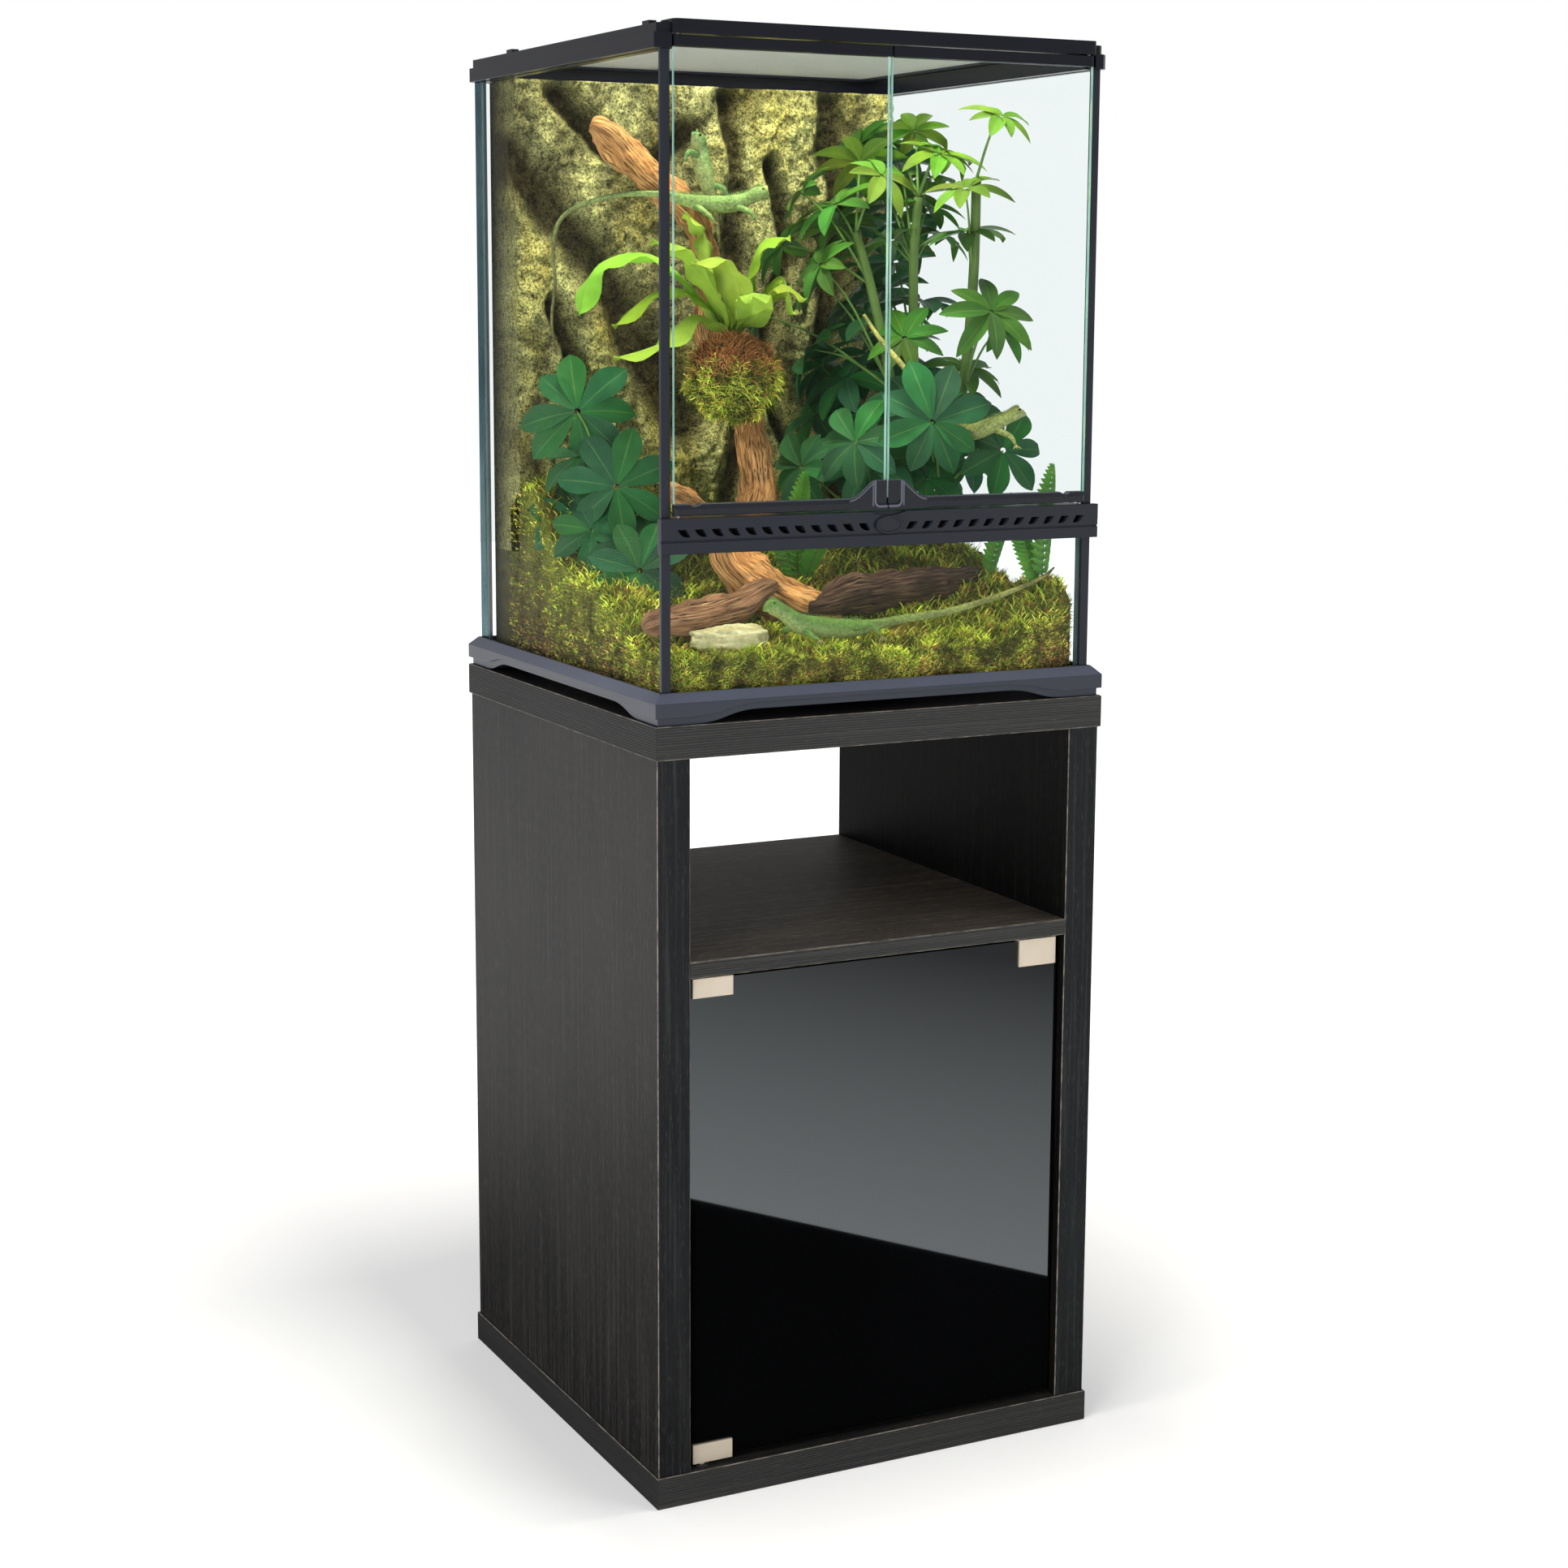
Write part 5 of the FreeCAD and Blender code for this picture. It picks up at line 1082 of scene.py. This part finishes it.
def build_lizards():
    """Four figures: two on the branch, one among the leaves and one on the moss."""
    build_lizard("climbing_lizard", ((-68, 40, 522, 1.5), (-62, 42, 516, 5.5), (-58, 44, 508, 5), (-57, 44, 496, 8),
                                     (-54, 40, 478, 7.5), (-50, 36, 460, 4), (-46, 34, 440, 2.2), (-44, 32, 420, 1.2)),
                 (((-60, 42, 500), (-74, 36, 504), (-78, 36, 494)), ((-54, 40, 474), (-40, 30, 470), (-38, 30, 458))),
                 "lizard_climbing", (0.1, 0.19, 0.055))
    build_lizard("branch_lizard", ((2, 18, 462, 1.5), (-6, 20, 466, 5.5), (-18, 24, 461, 5.0), (-32, 30, 456, 8.5),
                                   (-56, 38, 456, 8.5), (-74, 44, 459, 6), (-98, 48, 464, 3.4), (-126, 70, 464, 2.8),
                                   (-156, 92, 456, 2.4), (-178, 104, 440, 2.1), (-184, 108, 410, 1.9),
                                   (-182, 108, 380, 1.7), (-186, 108, 345, 1.4), (-182, 106, 312, 0.8)),
                 (((-30, 26, 454), (-22, 10, 448), (-18, 8, 440)), ((-66, 38, 454), (-62, 22, 446), (-54, 20, 438))),
                 "lizard_on_branch", (0.16, 0.25, 0.07), (0.13, 0.1, 0.04))
    build_lizard("leaf_lizard", ((190, -150, 260, 1.5), (180, -150, 261, 5), (170, -147, 256, 4.8), (158, -142, 250, 8),
                                 (136, -132, 244, 8), (118, -110, 262, 4.5), (100, -80, 300, 3), (86, -58, 326, 2.4),
                                 (74, -42, 352, 1.6)),
                 (((160, -146, 246), (168, -160, 240), (172, -162, 232)),), "lizard_in_leaves",
                 (0.26, 0.3, 0.09), (0.4, 0.36, 0.1))
    build_lizard("moss_lizard", ((-106, -190, 92, 1.5), (-98, -190, 95, 5.5), (-84, -188, 88, 5.5), (-68, -186, 78, 9),
                                 (-40, -182, 72, 10), (-10, -180, 70, 8.5), (14, -180, 72, 5.5), (40, -182, 76, 4.2),
                                 (80, -184, 80, 3.5), (120, -186, 88, 3), (160, -188, 99, 2.4), (186, -190, 109, 1.8),
                                 (200, -190, 118, 1.0)),
                 (((-66, -190, 74), (-62, -200, 68), (-56, -202, 64)), ((-14, -186, 70), (-2, -200, 76), (8, -202, 64)),
                  ((-66, -180, 74), (-74, -168, 70), (-70, -164, 66))), "lizard_on_moss", (0.12, 0.22, 0.045))


# ---------------------------------------------------------------- camera, stage and light

def place_camera():
    """The camera at the photograph's viewing angle, a little above the middle of the object."""
    data = bpy.data.cameras.new("camera")
    data.lens = 62.27
    data.sensor_width = 36
    data.shift_y = -0.031
    data.clip_start = 0.05
    camera = bpy.data.objects.new("camera", data)
    bpy.context.scene.collection.objects.link(camera)
    camera.location = (-1.1843, -2.3449, 1.0897)
    yaw, pitch, roll = math.radians(27.03), math.radians(9.21), math.radians(0.29)
    camera.rotation_euler = (Matrix.Rotation(-yaw, 4, "Z") @ Matrix.Rotation(math.pi / 2 - pitch, 4, "X")
                             @ Matrix.Rotation(roll, 4, "Z")).to_euler()
    bpy.context.scene.camera = camera


def stage_sheet(name, corners, material):
    """A flat sheet that isn't part of the object."""
    mesh = bpy.data.meshes.new(name)
    mesh.from_pydata(corners, [], [(0, 1, 2, 3)])
    mesh.materials.append(material)
    sheet = bpy.data.objects.new(name, mesh)
    bpy.context.scene.collection.objects.link(sheet)
    return sheet


def soft_light(name, at, towards, size, power, colour=(1, 1, 1), glossy=True):
    """A rectangular softbox."""
    data = bpy.data.lights.new(name, "AREA")
    data.shape = "RECTANGLE"
    data.size, data.size_y = size
    data.energy = power
    data.color = colour
    lamp = bpy.data.objects.new(name, data)
    bpy.context.scene.collection.objects.link(lamp)
    lamp.location = at
    lamp.rotation_euler = (Vector(towards) - Vector(at)).to_track_quat("-Z", "Y").to_euler()
    lamp.visible_glossy = glossy
    return lamp


def reflected_card():
    """A card on the floor in front that only reflections see: grey, and black below a slanting edge."""
    start, end = Vector((0.160, -0.977, 0.001)), Vector((0.417, -0.545, 0.001))
    along = (end - start).normalized()
    out = Vector((-along.y, along.x, 0)) * -1
    low, high = start - along * 2.5, end + along * 1.2
    for name, reach, levels in (("grey_card", 3.0, (1.3, 0.22)), ("black_card", -1.5, (0.0, 0.0))):
        material, tree, shader = new_material(name)
        where = add(tree, "TexCoord").outputs["Object"]
        offset = add(tree, "VectorMath", {0: where, 1: start}, operation="SUBTRACT").outputs[0]
        distance = add(tree, "VectorMath", {0: offset, 1: out}, operation="DOT_PRODUCT").outputs["Value"]
        level = add(tree, "MapRange", {"Value": distance, "From Max": 1.3, "To Min": levels[0], "To Max": levels[1]})
        glow = add(tree, "Emission", {"Color": (0.9, 0.97, 1.0, 1), "Strength": level.outputs[0]})
        tree.links.new(glow.outputs[0], tree.nodes["Material Output"].inputs["Surface"])
        tree.nodes.remove(shader)
        card = stage_sheet(name, [low, high, high + out * reach, low + out * reach], material)
        card.visible_camera = card.visible_diffuse = card.visible_shadow = card.visible_transmission = False


def build_stage():
    """Pale floor and surroundings, and soft light from the left, the right and above."""
    glowing_paper, tree, shader = new_material("stage_paper_painted_glow")
    faint = grain(tree, place(tree, (3, 3, 3)), 1.0, 2.0)
    finish(tree, shader, ramp(tree, faint, ((0.3, 0.8), (0.7, 0.82))), 0.9)
    # Painted light: the floor glows by itself, from 0.3 within half a metre of its middle to 0.95 three metres out.
    reach = add(tree, "VectorMath", {0: add(tree, "TexCoord").outputs["Object"]}, operation="LENGTH").outputs["Value"]
    lift = add(tree, "MapRange", {"Value": reach, "From Min": 0.5, "From Max": 3.0, "To Min": 0.3, "To Max": 0.95})
    shader.inputs["Emission Color"].default_value = (1.0, 1.0, 1.0, 1)
    tree.links.new(lift.outputs[0], shader.inputs["Emission Strength"])
    stage_sheet("floor", [(-9, -9, 0), (9, -9, 0), (9, 9, 0), (-9, 9, 0)], glowing_paper)
    reflected_card()
    world = bpy.data.worlds.new("surroundings")
    bpy.context.scene.world = world
    world.use_nodes = True
    background = world.node_tree.nodes["Background"]
    background.inputs["Color"].default_value = (1.0, 1.0, 1.0, 1)
    seen = add(world.node_tree, "LightPath").outputs["Is Camera Ray"]
    strength = scaled(world.node_tree, seen, 0.42, 1.0)
    world.node_tree.links.new(strength, background.inputs["Strength"])
    soft_light("left_softbox", (-2.8, -2.3, 1.0), (0, 0, 0.65), (1.4, 1.8), 76, glossy=False)
    soft_light("low_softbox", (-2.6, -0.7, 0.35), (-0.2, 0, 0.3), (1.0, 0.5), 13, glossy=False)
    soft_light("right_softbox", (2.0, -2.4, 1.7), (0, 0, 1.0), (1.6, 1.6), 22, glossy=False)
    soft_light("top_softbox", (0.0, -0.1, 2.0), (0, 0, 1.0), (0.4, 0.4), 42, (1.0, 0.96, 0.86), glossy=False)
    bpy.context.scene.view_settings.view_transform = "Standard"


# ---------------------------------------------------------------- assembly

dress_cabinet()
dress_tank()
build_lid_mesh()
build_pulls()
build_rock()
build_moss_bed()
build_moss_ball()
build_wood()
build_stone()
umbrella_plant("left_umbrella_plant", [((-150, 60, 70), (-152, 55, 130), (-158, 50, 190), (-165, 60, 235))],
               LEFT_ROSETTES, "umbrella_plant_left", 3, 2.8)
umbrella_plant("right_umbrella_plant", [
    ((140, -10, 90), (146, -8, 180), (150, -5, 300), (152, 0, 400), (156, 0, 465)),
    ((132, -14, 90), (128, -20, 180), (118, -20, 280), (104, 0, 380), (98, 20, 430)),
    ((146, -20, 90), (156, -50, 180), (162, -80, 280), (166, -90, 380), (168, -90, 480))],
    RIGHT_ROSETTES, "umbrella_plant_right", 8, 6.0)
build_nest_fern()
build_ferns()
build_lizards()
place_camera()
build_stage()
